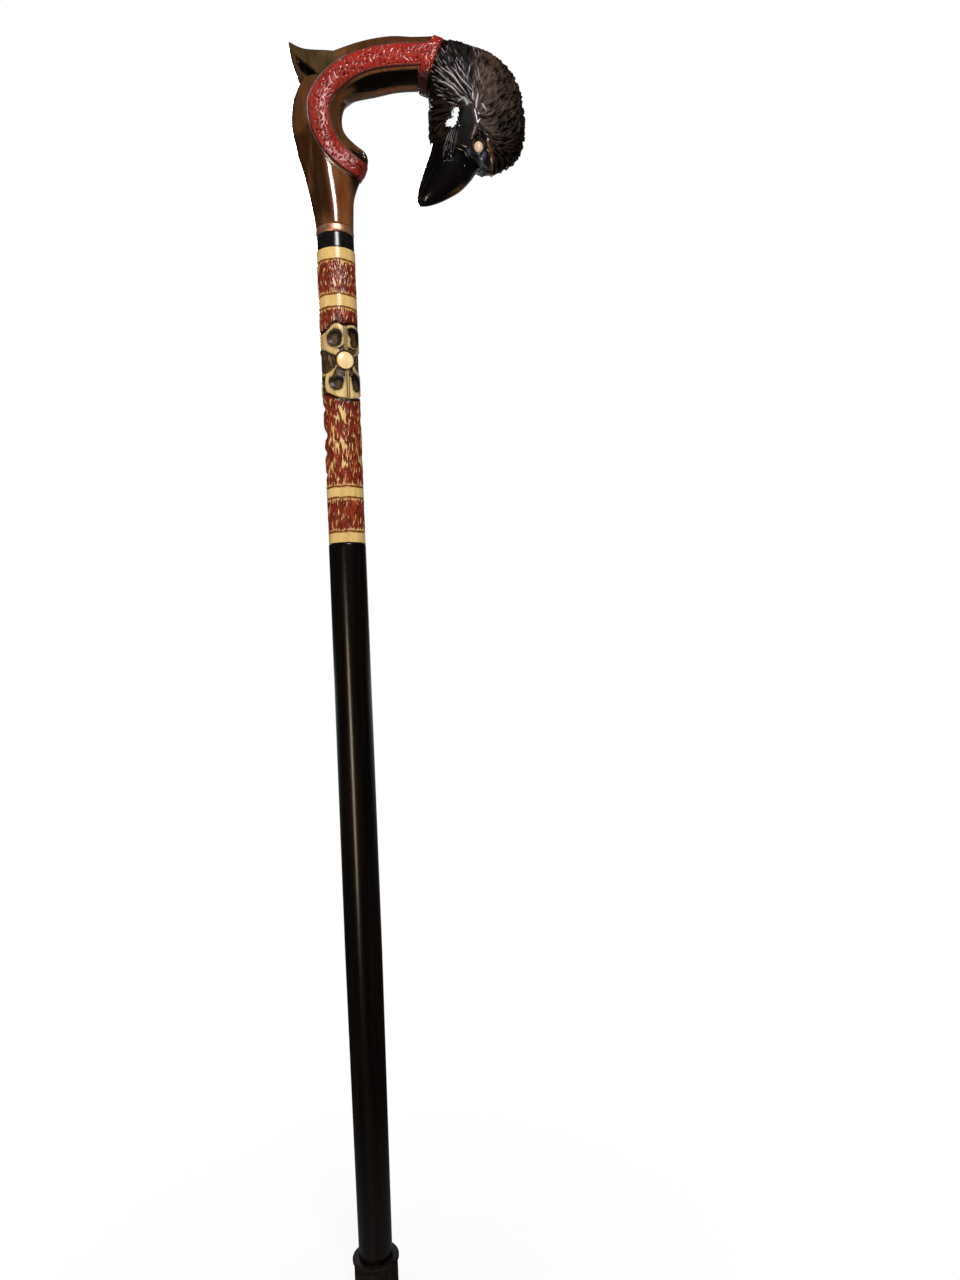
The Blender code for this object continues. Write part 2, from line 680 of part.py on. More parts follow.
def dowel_cutter(name, cutters, frame, centre, length):
    """A bore along the joint's direction, centred on the joint."""
    mesh = cylinder_mesh(name, DOWEL_RADIUS + SEAT_GAP, length, STUD_STEPS)
    cutter = as_cutter(add_object(name, mesh, cutters, frame, centre))
    cutter.rotation_euler = JOINT_ALONG.to_track_quat("Z", "Y").to_euler()
    return cutter


def make_handle(parts, cutters, frame, material):
    mesh = loft_mesh("handle", spigot_rings() + crook_rings(0.0, 0.0))
    handle = add_object("handle", mesh, parts, frame)
    spur_rows = smooth_rows(SPUR_ROWS, CROOK_SPAN_STEPS)
    spur_rings = [section_of_row(row, HANDLE_POINTS) for row in spur_rows]
    spur = as_cutter(add_object("spur", loft_mesh("spur", spur_rings), cutters, frame))
    boolean(handle, spur, "UNION")
    for side in (-1, 1):
        mesh = ellipsoid_mesh("scoop", SCOOP_SIZE)
        x, y, z = SCOOP_CENTRE
        scoop = as_cutter(add_object(f"scoop_{side}", mesh, cutters, frame, (x, side * y, z)))
        boolean(handle, scoop)
    recess = strip_prism(
        "strip_recess", cutters, frame, 2 * SEAT_GAP, 3 * SEAT_GAP, -STRIP_REACH, STRIP_REACH
    )
    core = add_object("core", loft_mesh("core", crook_rings(-STRIP_DEPTH, 2 * OVERRUN)), cutters, frame)
    boolean(as_cutter(recess), as_cutter(core))
    boolean(handle, recess)
    bore_length = DOWEL_INTO_HANDLE + SEAT_GAP + OVERRUN
    start = COLLAR_INNER - JOINT_ALONG * (DOWEL_INTO_HANDLE + SEAT_GAP)
    boolean(handle, dowel_cutter("handle_dowel_bore", cutters, frame, start, bore_length))
    length = SPIGOT_LENGTH + STUD_LENGTH + 2 * SEAT_GAP
    mesh = cylinder_mesh("handle_stud_bore", STUD_BORE, length, STUD_STEPS)
    location = (0.0, 0.0, -SPIGOT_LENGTH - SEAT_GAP)
    bore = as_cutter(add_object("handle_stud_bore", mesh, cutters, frame, location))
    boolean(handle, bore)
    handle.data.materials.append(material)


def make_inlays(parts, cutters, frame, material):
    """The red strips on the two sides of the crook, which meet over the thumb rest's tip."""
    raised_rings = crook_rings(STRIP_PROUD, OVERRUN)
    raised = add_object("raised", loft_mesh("raised", raised_rings), cutters, frame)
    seat_rings = crook_rings(SEAT_GAP - STRIP_DEPTH, 2 * OVERRUN)
    seat = add_object("seat", loft_mesh("seat", seat_rings), cutters, frame)
    as_cutter(raised)
    as_cutter(seat)
    half_gap = SEAT_GAP / 2
    for side, near, far in (("front", -STRIP_REACH, -half_gap), ("back", half_gap, STRIP_REACH)):
        inlay = strip_prism(f"red_inlay_{side}", parts, frame, 0.0, 0.0, near, far)
        boolean(inlay, raised, "INTERSECT")
        boolean(inlay, seat)
        inlay.data.materials.append(material)


def make_collar(parts, cutters, frame, material):
    inner = COLLAR_INNER + JOINT_ALONG * SEAT_GAP
    outer = COLLAR_OUTER - JOINT_ALONG * SEAT_GAP
    bevel = JOINT_ALONG * COLLAR_PROUD
    rings = [
        joint_section(inner, HANDLE_POINTS),
        joint_section(inner + bevel, HANDLE_POINTS, COLLAR_PROUD),
        joint_section(outer - bevel, HANDLE_POINTS, COLLAR_PROUD),
        joint_section(outer, HANDLE_POINTS),
    ]
    collar = add_object("red_collar", loft_mesh("red_collar", rings), parts, frame)
    start = COLLAR_INNER - JOINT_ALONG * OVERRUN
    boolean(collar, dowel_cutter("collar_bore", cutters, frame, start, COLLAR_WIDTH + 2 * OVERRUN))
    collar.data.materials.append(material)


def make_dowel(parts, frame, material):
    length = DOWEL_INTO_HANDLE + COLLAR_WIDTH + DOWEL_INTO_HEAD
    mesh = turned_mesh("head_dowel", rod_profile(DOWEL_RADIUS, length, SEAT_GAP))
    dowel = add_object("head_dowel", mesh, parts, frame)
    dowel.location = COLLAR_INNER - JOINT_ALONG * DOWEL_INTO_HANDLE
    dowel.rotation_euler = JOINT_ALONG.to_track_quat("Z", "Y").to_euler()
    turn(dowel, STUD_STEPS)
    dowel.data.materials.append(material)


def head_rings():
    """Sections of the head; every other one stands out, which makes the locks of feathers."""
    rows = smooth_rows(HEAD_ROWS, HEAD_SPAN_STEPS)
    last = len(rows) - 1
    rings = []
    for index, row in enumerate(rows):
        fade = min(1.0, index / LOCKS_START, (last - index) / LOCKS_END)
        lock = LOCK_DEPTH * fade * (1 if index % 2 else -1)
        rings.append(section_of_row(row, HEAD_POINTS, lock))
    return rings


def face_line():
    """The two ends of the beak's root in the XZ plane, and the direction in which the beak leaves it."""
    inner_x, inner_z, outer_x, outer_z = BEAK_ROWS[0][:4]
    inner = Vector((inner_x, 0.0, inner_z))
    outer = Vector((outer_x, 0.0, outer_z))
    along = (outer - inner).normalized()
    return inner, outer, Vector((along.z, 0.0, -along.x))


def tenon_rings(grow, stand_off):
    """The beak's tenon, from its root in the head to this distance in front of the face."""
    inner, outer, away = face_line()
    inset = (outer - inner).normalized() * TENON_INSET
    rings = []
    for distance in (-TENON_LENGTH - grow, stand_off):
        low = inner + inset + away * distance
        high = outer - inset + away * distance
        rings.append(section(low, high, TENON_HALF_THICKNESS, TENON_SQUARENESS, BEAK_POINTS, grow))
    return rings


def make_head(parts, cutters, frame, material):
    head = add_object("bird_head", loft_mesh("bird_head", head_rings()), parts, frame)
    socket_rings = tenon_rings(SEAT_GAP, OVERRUN)
    socket = add_object("beak_socket", loft_mesh("beak_socket", socket_rings), cutters, frame)
    boolean(head, as_cutter(socket))
    length = DOWEL_INTO_HEAD + SEAT_GAP + OVERRUN
    boolean(head, dowel_cutter("head_bore", cutters, frame, -JOINT_ALONG * OVERRUN, length))
    for side in (-1, 1):
        socket = add_object(f"eye_socket_{side}", ellipsoid_mesh("eye_socket", SOCKET_SIZE), cutters, frame)
        socket.location = (EYE_PLACE[0], side * SOCKET_DEPTH, EYE_PLACE[1])
        socket.rotation_euler = (0.0, SOCKET_LEAN, 0.0)
        boolean(head, as_cutter(socket))
        size = [half + SEAT_GAP for half in EYE_SIZE]
        seat = add_object(f"eye_seat_{side}", ellipsoid_mesh("eye_seat", size), cutters, frame)
        seat.location = (EYE_PLACE[0], side * EYE_DEPTH, EYE_PLACE[1])
        boolean(head, as_cutter(seat))
    head.data.materials.append(material)


def make_beak(parts, frame, material):
    rows = smooth_rows(BEAK_ROWS, CROOK_SPAN_STEPS)
    blade = [section_of_row(row, BEAK_POINTS) for row in rows]
    away = face_line()[2]
    blade[0] = [point + away * SEAT_GAP for point in blade[0]]
    beak = add_object("beak", loft_mesh("beak", tenon_rings(0.0, SEAT_GAP) + blade), parts, frame)
    beak.data.materials.append(material)


def make_eye(name, parts, frame, side, material):
    bead = add_object(name, ellipsoid_mesh(name, EYE_SIZE), parts, frame)
    bead.location = (EYE_PLACE[0], side * EYE_DEPTH, EYE_PLACE[1])
    bead.data.materials.append(material)


def main():
    clear_scene()
    parts = new_collection("carved_walking_cane")
    cutters = new_collection("cutters")
    steel = finish_of("steel", (150, 150, 152), 0.35, 1.0)
    brass = finish_of("brass", (190, 150, 80), 0.35, 1.0)
    copper = finish_of("copper", (205, 140, 110), 0.3, 1.0)
    rubber = finish_of("rubber", (38, 32, 28), 0.75)
    black = finish_of("black_lacquer", (16, 13, 14), 0.22)
    shaft_stain = finish_of("shaft_stain", (30, 20, 18), 0.35)
    bare_wood = finish_of("bare_wood", (214, 176, 106), 0.4)
    cream = finish_of("cream", (232, 202, 146), 0.35)
    brown = finish_of("brown_lacquer", (84, 54, 34), 0.25)
    red = finish_of("red_stain", (156, 42, 30), 0.3)
    feather = finish_of("feather_stain", (44, 32, 28), 0.4)
    dowel_wood = finish_of("dowel_wood", (196, 160, 110), 0.6)

    make_foot(parts, rubber)
    make_disc(parts, steel)
    make_lower_shaft(parts, shaft_stain)
    shaft_top = SHAFT_BOTTOM + SHAFT_LENGTH
    make_insert("lower_insert", parts, brass, shaft_top - SEAT_GAP)
    make_stud("joint_stud", parts, steel, shaft_top - STUD_LENGTH, CARVED_BOTTOM + STUD_LENGTH)
    make_carved_section(parts, cutters, bare_wood)
    make_button("flower_button_front", parts, cream, FLOWER_ANGLE)
    make_button("flower_button_back", parts, cream, FLOWER_ANGLE + math.pi)
    carved_top = CARVED_BOTTOM + CARVED_LENGTH
    make_insert("upper_insert", parts, brass, carved_top - SEAT_GAP)
    make_stud("handle_stud", parts, steel, carved_top - STUD_LENGTH, HANDLE_BOTTOM + STUD_LENGTH)
    make_black_ring(parts, black)
    make_copper_ring(parts, copper)

    handle_frame = add_object("handle_frame", None, parts, location=(0.0, 0.0, HANDLE_BOTTOM))
    make_handle(parts, cutters, handle_frame, brown)
    make_inlays(parts, cutters, handle_frame, red)
    make_collar(parts, cutters, handle_frame, red)
    make_dowel(parts, handle_frame, dowel_wood)

    head_frame = add_object("head_frame", None, parts, handle_frame, COLLAR_OUTER)
    make_head(parts, cutters, head_frame, feather)
    make_beak(parts, head_frame, black)
    make_eye("eye_bead_front", parts, head_frame, -1, cream)
    make_eye("eye_bead_back", parts, head_frame, 1, cream)


main()
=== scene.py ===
"""The looks of a carved walking cane: a crook with let-in red strips, a bird's head and a flower-carved shaft.

Metres, +Z up. The cane stands at the origin with the bird's head toward +X, and the camera looks along +Y.
Outlines of carving are written in millimetres in the side view (x, z), and MM turns them into metres.
"""

import math

import bmesh
import bpy
import numpy as np
from mathutils import Matrix, Vector


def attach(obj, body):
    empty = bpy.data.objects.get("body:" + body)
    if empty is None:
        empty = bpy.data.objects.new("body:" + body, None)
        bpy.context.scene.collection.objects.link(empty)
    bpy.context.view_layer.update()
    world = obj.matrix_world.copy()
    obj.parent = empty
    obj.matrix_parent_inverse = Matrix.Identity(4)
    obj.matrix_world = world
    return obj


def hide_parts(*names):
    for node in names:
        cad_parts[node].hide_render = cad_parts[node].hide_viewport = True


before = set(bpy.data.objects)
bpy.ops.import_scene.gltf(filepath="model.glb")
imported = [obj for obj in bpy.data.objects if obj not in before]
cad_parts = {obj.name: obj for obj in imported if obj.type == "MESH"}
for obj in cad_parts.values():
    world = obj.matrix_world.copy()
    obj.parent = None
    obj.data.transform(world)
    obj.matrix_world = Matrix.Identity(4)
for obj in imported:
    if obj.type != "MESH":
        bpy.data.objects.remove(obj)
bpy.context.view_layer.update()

MM = 0.001
SEAT_GAP = 0.0003

# Camera of the photograph
CAMERA_PLACE = (0.0906, -0.6197, 0.4691)
CAMERA_ROLL = math.radians(2.295)
LENS = 24.75
WORLD_LIGHT = 0.33
FLOOR_REACH = 12.0

# Heights of the stack
SHAFT_BOTTOM = 0.0121
CARVED_BOTTOM = 0.5404
CARVED_TOP = 0.7440
BLACK_RING_BOTTOM = 0.7443
COPPER_RING_BOTTOM = 0.7555
HANDLE_BOTTOM = 0.7611
FLOWER_CENTRE = 0.66585

# Sizes of the turned pieces
FOOT_HEIGHT = 0.040
FOOT_FLOOR = 0.010
FOOT_WALL = 0.0034
FOOT_LIP = 0.0010
FOOT_FLARE = 0.0026
SHAFT_LENGTH = 0.5280
SHAFT_FOOT_RADIUS = 0.0115
SHAFT_TOP_RADIUS = 0.0130
SHAFT_TAPER_LENGTH = 0.2400
CARVED_BOTTOM_RADIUS = 0.0128
CARVED_TOP_RADIUS = 0.0135
BLACK_RING_RADIUS = 0.0130
BLACK_RING_HEIGHT = 0.0109
COPPER_RING_RADIUS = 0.0132
COPPER_RING_HEIGHT = 0.0053
COPPER_RING_INNER = 0.0118
STUD_BORE = 0.0043
STUD_LENGTH = 0.0200
INSERT_BORE = 0.0066
INSERT_BORE_DEPTH = 0.0226
SPIGOT_RADIUS = 0.0115
SPIGOT_LENGTH = 0.0056

# Joint between the crook and the bird's head, in the handle's frame
JOINT_LEAN = math.radians(23)
JOINT_UP = np.array((math.sin(JOINT_LEAN), math.cos(JOINT_LEAN)))
JOINT_ALONG = np.array((math.cos(JOINT_LEAN), -math.sin(JOINT_LEAN)))
COLLAR_INNER = np.array((0.0686, 0.1140))
COLLAR_WIDTH = 0.0085
COLLAR_OUTER = COLLAR_INNER + JOINT_ALONG * COLLAR_WIDTH
COLLAR_PROUD = 0.0011
COLLAR_HALF_LENGTH = 0.0170
COLLAR_HALF_THICKNESS = 0.0143
COLLAR_SQUARENESS = 2.8
DOWEL_BORE = 0.0043
DOWEL_INTO_HANDLE = 0.018
DOWEL_INTO_HEAD = 0.024
HEAD_FRAME = np.array((COLLAR_OUTER[0], 0.0, HANDLE_BOTTOM + COLLAR_OUTER[1]))

# Outline of the crook, in the handle's frame: inner x and z, outer x and z, half thickness, squareness
HANDLE_ROWS = (
    (0.0131, 0.0000, -0.0131, 0.0000, 0.0131, 2.0),
    (0.0136, 0.0104, -0.0144, 0.0104, 0.0134, 2.0),
    (0.0143, 0.0207, -0.0162, 0.0207, 0.0136, 2.1),
    (0.0173, 0.0301, -0.0181, 0.0301, 0.0138, 2.1),
    (0.0216, 0.0389, -0.0199, 0.0389, 0.0138, 2.2),
    (0.0250, 0.0456, -0.0216, 0.0451, 0.0138, 2.2),
    (0.0244, 0.0524, -0.0236, 0.0518, 0.0138, 2.3),
    (0.0182, 0.0581, -0.0248, 0.0591, 0.0138, 2.3),
    (0.0120, 0.0642, -0.0263, 0.0662, 0.0138, 2.4),
    (0.0090, 0.0697, -0.0270, 0.0732, 0.0139, 2.5),
    (0.0079, 0.0752, -0.0266, 0.0812, 0.0139, 2.6),
    (0.0080, 0.0812, -0.0249, 0.0897, 0.0140, 2.7),
    (0.0097, 0.0871, -0.0209, 0.0986, 0.0140, 2.7),
    (0.0130, 0.0909, -0.0146, 0.1084, 0.0140, 2.7),
    (0.0175, 0.0930, -0.0040, 0.1186, 0.0140, 2.8),
    (0.0236, 0.0941, 0.0100, 0.1244, 0.0140, 2.8),
    (0.0315, 0.0951, 0.0270, 0.1291, 0.0140, 2.8),
    (0.0440, 0.0975, 0.0450, 0.1313, 0.0139, 2.8),
    (0.0535, 0.0983, 0.0605, 0.1301, 0.0138, 2.8),
)
SPUR_ROWS = (
    (-0.0120, 0.1002, 0.0160, 0.1220, 0.0110, 2.4),
    (-0.0202, 0.1037, 0.0040, 0.1244, 0.0105, 2.4),
    (-0.0224, 0.1092, -0.0070, 0.1256, 0.0090, 2.4),
    (-0.0246, 0.1157, -0.0145, 0.1270, 0.0072, 2.3),
    (-0.0261, 0.1222, -0.0198, 0.1292, 0.0054, 2.2),
    (-0.0269, 0.1282, -0.0237, 0.1318, 0.0034, 2.1),
    (-0.0271, 0.1328, -0.0266, 0.1338, 0.0014, 2.0),
)

# Middle line of the red strip from the collar to the thumb rest: x, z, width
STRIP_ROWS = (
    (0.0480, 0.1132, 0.0150),
    (0.0300, 0.1109, 0.0148),
    (0.0140, 0.1050, 0.0146),
    (0.0023, 0.0960, 0.0143),
    (-0.0046, 0.0862, 0.0140),
    (-0.0059, 0.0762, 0.0139),
    (-0.0028, 0.0622, 0.0136),
    (0.0050, 0.0502, 0.0126),
    (0.0145, 0.0427, 0.0116),
    (0.0270, 0.0368, 0.0108),
)
STRIP_WIDTH_AT_COLLAR = 0.0152
STRIP_DROP_AT_COLLAR = 0.0008
STRIP_DEPTH = 0.0015
STRIP_PROUD = 0.0007
STRIP_REACH = 0.030
HANDLE_VOXEL = 0.00034
STRIP_VOXEL = 0.0003

# Outline of the bird's head and of its beak, from the collar's outer face
HEAD_ROWS = (
    (-0.0066, -0.0156, 0.0070, 0.0165, 0.0152, 2.6),
    (-0.0069, -0.0185, 0.0154, 0.0158, 0.0160, 2.5),
    (-0.0071, -0.0219, 0.0272, 0.0112, 0.0172, 2.4),
    (-0.0073, -0.0255, 0.0401, 0.0059, 0.0184, 2.3),
    (-0.0075, -0.0292, 0.0507, -0.0036, 0.0192, 2.3),
    (-0.0078, -0.0331, 0.0575, -0.0155, 0.0196, 2.3),
    (-0.0081, -0.0371, 0.0604, -0.0293, 0.0196, 2.3),
    (-0.0084, -0.0411, 0.0609, -0.0435, 0.0193, 2.3),
    (-0.0084, -0.0441, 0.0592, -0.0561, 0.0186, 2.3),
    (-0.0081, -0.0471, 0.0540, -0.0661, 0.0174, 2.2),
    (-0.0076, -0.0496, 0.0446, -0.0722, 0.0160, 2.2),
    (-0.0069, -0.0516, 0.0348, -0.0736, 0.0145, 2.2),
    (-0.0059, -0.0536, 0.0276, -0.0711, 0.0123, 2.1),
)
BEAK_ROWS = (
    (-0.0059, -0.0536, 0.0276, -0.0711, 0.0122, 2.1),
    (-0.0084, -0.0621, 0.0201, -0.0796, 0.0106, 2.0),
    (-0.0116, -0.0701, 0.0131, -0.0861, 0.0090, 2.0),
    (-0.0141, -0.0766, 0.0046, -0.0908, 0.0073, 2.0),
    (-0.0161, -0.0826, -0.0034, -0.0941, 0.0056, 2.0),
    (-0.0173, -0.0886, -0.0104, -0.0958, 0.0036, 2.0),
    (-0.0175, -0.0936, -0.0159, -0.0959, 0.0013, 2.0),
)
EYE_PLACE = (0.0267, -0.0626)
EYE_DEPTH = 0.0121
EYE_SIZE = (0.0033, 0.0023, 0.0041)


# Lines and masks in a plane


def smooth_rows(rows, steps):
    """The rows and those between them, on a smooth curve through the rows, with this many steps a span."""
    rows = np.array(rows, float)
    padded = np.vstack([2 * rows[0] - rows[1], rows, 2 * rows[-1] - rows[-2]])
    found = []
    for before, start, end, after in zip(padded, padded[1:], padded[2:], padded[3:]):
        for t in np.arange(steps) / steps:
            first = 2 * start + (end - before) * t
            second = (2 * before - 5 * start + 4 * end - after) * t**2
            third = (3 * start - before - 3 * end + after) * t**3
            found.append((first + second + third) / 2)
    found.append(rows[-1])
    return np.array(found)


def step_up(value, low, high):
    """A soft step from 0 at the low value to 1 at the high one."""
    share = np.clip((value - low) / (high - low), 0.0, 1.0)
    return share * share * (3 - 2 * share)


def bump(distance, width):
    """1 at no distance, falling off like a bell of this width."""
    return np.exp(-((distance / width) ** 2))


def line_distance(places, line):
    """Distance of each place from a line of points, and how far along it the nearest point is, from 0 to 1."""
    line = np.asarray(line, float)
    steps = np.diff(line, axis=0)
    lengths = np.linalg.norm(steps, axis=1)
    ends = np.cumsum(lengths)
    nearest = np.full(len(places), np.inf)
    share = np.zeros(len(places))
    for start, step, length, end in zip(line, steps, lengths, ends):
        gap = places - start
        t = np.clip(gap @ step / length**2, 0.0, 1.0)
        distance = np.linalg.norm(gap - t[:, None] * step, axis=1)
        closer = distance < nearest
        nearest[closer] = distance[closer]
        share[closer] = (end - length * (1 - t[closer])) / ends[-1]
    return nearest, share


def inside_distance(places, outline):
    """Distance of each place from a closed outline, above zero inside it."""
    outline = np.asarray(outline, float)
    closed = np.vstack([outline, outline[:1]])
    distance, _ = line_distance(places, closed)
    odd = np.zeros(len(places), bool)
    for (x1, z1), (x2, z2) in zip(closed, closed[1:]):
        if z1 == z2:
            continue
        crosses = (places[:, 1] < z1) != (places[:, 1] < z2)
        odd ^= crosses & (places[:, 0] < x1 + (places[:, 1] - z1) * (x2 - x1) / (z2 - z1))
    return np.where(odd, distance, -distance)


def oval(places, x, z, wide, tall):
    """How far each place lies from the middle of an oval, where 1 is the oval's edge."""
    return np.hypot((places[:, 0] - x) / wide, (places[:, 1] - z) / tall)


def scattered(rng, low, high, tries, grain):
    """Random places in a box, kept apart along and across the grain.

    The grain is an angle and the distances along and across it, or a function of the places that gives them.
    """
    places = rng.uniform(low, high, (tries, 2))
    lie = grain(places) if callable(grain) else grain
    angle, along, across = (np.broadcast_to(value, tries) for value in lie)
    kept = []
    for index, place in enumerate(places):
        if kept:
            gap = places[kept] - place
            c, s = math.cos(angle[index]), math.sin(angle[index])
            lengthwise = (gap[:, 0] * c + gap[:, 1] * s) / along[index]
            crosswise = (gap[:, 1] * c - gap[:, 0] * s) / across[index]
            if (lengthwise**2 + crosswise**2).min() < 1:
                continue
        kept.append(index)
    return places[kept]


def follow(start, heading, length, steps=6):
    """A path of this length from a start, which heads where heading(places) says at each step."""
    path = [np.asarray(start, float)]
    for _ in range(steps):
        angle = heading(path[-1][None])[0]
        path.append(path[-1] + np.array((math.cos(angle), math.sin(angle))) * length / steps)
    return np.array(path)


def gouge_depth(places, gouges, power=1.0):
    """Depth of each place under gouges (path, half width, depth), and which gouge cuts it.

    The gouges are V-shaped with a power of 1, and a higher power rounds the ridges between them.
    """
    order = np.argsort(places[:, 0])
    sorted_x = places[order, 0]
    depth = np.zeros(len(places))
    which = np.full(len(places), -1)
    for number, (path, half_width, deepest) in enumerate(gouges):
        low, high = path.min(axis=0) - half_width, path.max(axis=0) + half_width
        near = order[np.searchsorted(sorted_x, low[0]) : np.searchsorted(sorted_x, high[0])]
        near = near[(places[near, 1] > low[1]) & (places[near, 1] < high[1])]
        if not len(near):
            continue
        distance, share = line_distance(places[near], path)
        taper = np.clip(4 * share * (1 - share), 0.0, 1.0) ** 0.8 + 0.001
        cut = deepest * taper * np.clip(1 - distance / (half_width * taper), 0.0, 1.0) ** power
        deeper = cut > depth[near]
        depth[near[deeper]] = cut[deeper]
        which[near[deeper]] = number
    return depth, which


# Meshes


def sections(rows, points, grow=0.0):
    """Rings of evenly spaced points: a superellipse between each row's two points, thick along Y."""
    angle = np.linspace(0.0, 2 * math.pi, 6 * points + 1)
    c, s = np.cos(angle), np.sin(angle)
    rings = []
    for inner_x, inner_z, outer_x, outer_z, half_thickness, squareness in rows:
        inner, outer = np.array((inner_x, inner_z)), np.array((outer_x, outer_z))
        reach = np.linalg.norm(outer - inner) / 2
        along = (outer - inner) / (2 * reach)
        power = 2 / squareness
        across = np.sign(c) * np.abs(c) ** power * (reach + grow)
        depth = np.sign(s) * np.abs(s) ** power * (half_thickness + grow)
        travelled = np.concatenate([[0.0], np.cumsum(np.hypot(np.diff(across), np.diff(depth)))])
        wanted = np.linspace(0.0, travelled[-1], points, endpoint=False)
        across, depth = np.interp(wanted, travelled, across), np.interp(wanted, travelled, depth)
        centre = (inner + outer) / 2
        rings.append(np.stack([centre[0] + along[0] * across, depth, centre[1] + along[1] * across], axis=1))
    return np.array(rings)


def round_rings(profile, points):
    """Rings about the Z axis for a profile of (radius, height)."""
    angle = np.linspace(0.0, 2 * math.pi, points, endpoint=False)
    radius, height = np.array(profile, float).T
    x = radius[:, None] * np.cos(angle)
    y = radius[:, None] * np.sin(angle)
    return np.stack([x, y, np.broadcast_to(height[:, None], x.shape)], axis=2)


def filled(profile, step):
    """A profile with points added so that none lie further apart than the step."""
    found = [profile[0]]
    for start, end in zip(profile, profile[1:]):
        count = max(1, math.ceil(math.dist(start, end) / step))
        for index in range(1, count + 1):
            share = index / count
            found.append(tuple(a + (b - a) * share for a, b in zip(start, end)))
    return found


def skin_faces(count, points, loop):
    """Faces through rings of points, whose ends close at a middle point or, in a loop, meet."""
    index = np.arange(count * points).reshape(count, points)
    if loop:
        index = np.vstack([index, index[:1]])
    after = np.roll(index, -1, axis=1)
    quads = np.stack([index[:-1], after[:-1], after[1:], index[1:]], axis=-1).reshape(-1, 4)
    if loop:
        return quads.tolist()
    first, last = count * points, count * points + 1
    low = np.stack([after[0], index[0], np.full(points, first)], axis=1)
    high = np.stack([index[-1], after[-1], np.full(points, last)], axis=1)
    return quads.tolist() + low.tolist() + high.tolist()


def skin(rings, loop=False):
    """Points and faces of one closed body through rings of points."""
    count, points = rings.shape[:2]
    verts = rings.reshape(-1, 3)
    if not loop:
        verts = np.vstack([verts, rings[0].mean(axis=0), rings[-1].mean(axis=0)])
    return verts, skin_faces(count, points, loop)


def turned(name, profile, points, loop=False):
    """The mesh of a piece turned about the Z axis."""
    return mesh_of(name, *skin(round_rings(profile, points), loop))


def mesh_of(name, verts, faces):
    mesh = bpy.data.meshes.new(name)
    mesh.from_pydata(verts.tolist(), [], faces)
    shape = bmesh.new()
    shape.from_mesh(mesh)
    bmesh.ops.recalc_face_normals(shape, faces=shape.faces)
    shape.to_mesh(mesh)
    shape.free()
    return mesh


def points_of(mesh):
    verts = np.empty(len(mesh.vertices) * 3)
    mesh.vertices.foreach_get("co", verts)
    return verts.reshape(-1, 3)


def normals_of(mesh):
    normals = np.empty(len(mesh.vertices) * 3)
    mesh.vertex_normals.foreach_get("vector", normals)
    return normals.reshape(-1, 3)


def move_points(mesh, verts):
    mesh.vertices.foreach_set("co", verts.reshape(-1))
    mesh.update()


def raise_points(mesh, height):
    """Moves each point out by its height, along the surface's own direction."""
    move_points(mesh, points_of(mesh) + normals_of(mesh) * height[:, None])


def soften(mesh, rounds):
    """Smooths a mesh without shrinking it."""
    edges = np.empty(len(mesh.edges) * 2, int)
    mesh.edges.foreach_get("vertices", edges)
    start, end = edges.reshape(-1, 2).T
    verts = points_of(mesh)
    count = np.bincount(edges, minlength=len(verts))[:, None]
    for _ in range(rounds):
        for share in (0.5, -0.53):
            total = np.zeros_like(verts)
            for axis in range(3):
                total[:, axis] += np.bincount(start, verts[end, axis], len(verts))
                total[:, axis] += np.bincount(end, verts[start, axis], len(verts))
            verts += share * (total / count - verts)
    move_points(mesh, verts)


def note(mesh, name, values, shown=slice(None)):
    """Keeps a number from 0 to 1 for each shown point, and 0 for the others, for the material to read."""
    whole = np.zeros(len(mesh.vertices), np.float32)
    whole[shown] = np.clip(values, 0.0, 1.0)
    mesh.attributes.new(name, "FLOAT", "POINT").data.foreach_set("value", whole)


def add_object(name, mesh):
    obj = bpy.data.objects.new(name, mesh)
    bpy.context.scene.collection.objects.link(obj)
    return obj


def piece(name, mesh, material, slot, *nodes, sharp=math.radians(50)):
    """A finished piece of the cane, which stands for these nodes of the frame."""
    mesh.shade_smooth()
    mesh.set_sharp_from_angle(angle=sharp)
    mesh.materials.append(material)
    obj = add_object(name, mesh)
    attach(obj, "root")
    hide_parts(*nodes)


def with_boolean(obj, cutter, operation):
    modifier = obj.modifiers.new(cutter.name, "BOOLEAN")
    modifier.operation = operation
    modifier.solver = "EXACT"
    modifier.object = cutter


def settled(name, obj, voxel, cutters):
    """The object's mesh with its cuts made and its faces made even; the object and its cutters go."""
    if voxel:
        remesh = obj.modifiers.new("Even faces", "REMESH")
        remesh.mode = "VOXEL"
        remesh.voxel_size = voxel
    depsgraph = bpy.context.evaluated_depsgraph_get()
    mesh = bpy.data.meshes.new_from_object(obj.evaluated_get(depsgraph))
    mesh.name = name
    for spent in (obj, *cutters):
        bpy.data.objects.remove(spent, do_unlink=True)
    return mesh


# Materials


def linear(colour):
    """A colour in 8-bit steps of sRGB as linear light."""
    return tuple(((step / 255 + 0.055) / 1.055) ** 2.4 if step > 10 else step / 255 / 12.92 for step in colour)


def feed(tree, socket, value):
    """Sets an input, or links it to the output that gives its value. None leaves it as it is."""
    if isinstance(value, bpy.types.NodeSocket):
        tree.links.new(value, socket)
    elif value is not None:
        socket.default_value = value


def new_node(tree, kind, values=(), **settings):
    """A shader node with values or links for its inputs, in order or by name or number."""
    node = tree.nodes.new("ShaderNode" + kind)
    for key, value in settings.items():
        setattr(node, key, value)
    for key, value in values.items() if isinstance(values, dict) else enumerate(values):
        feed(tree, node.inputs[key], value)
    return node


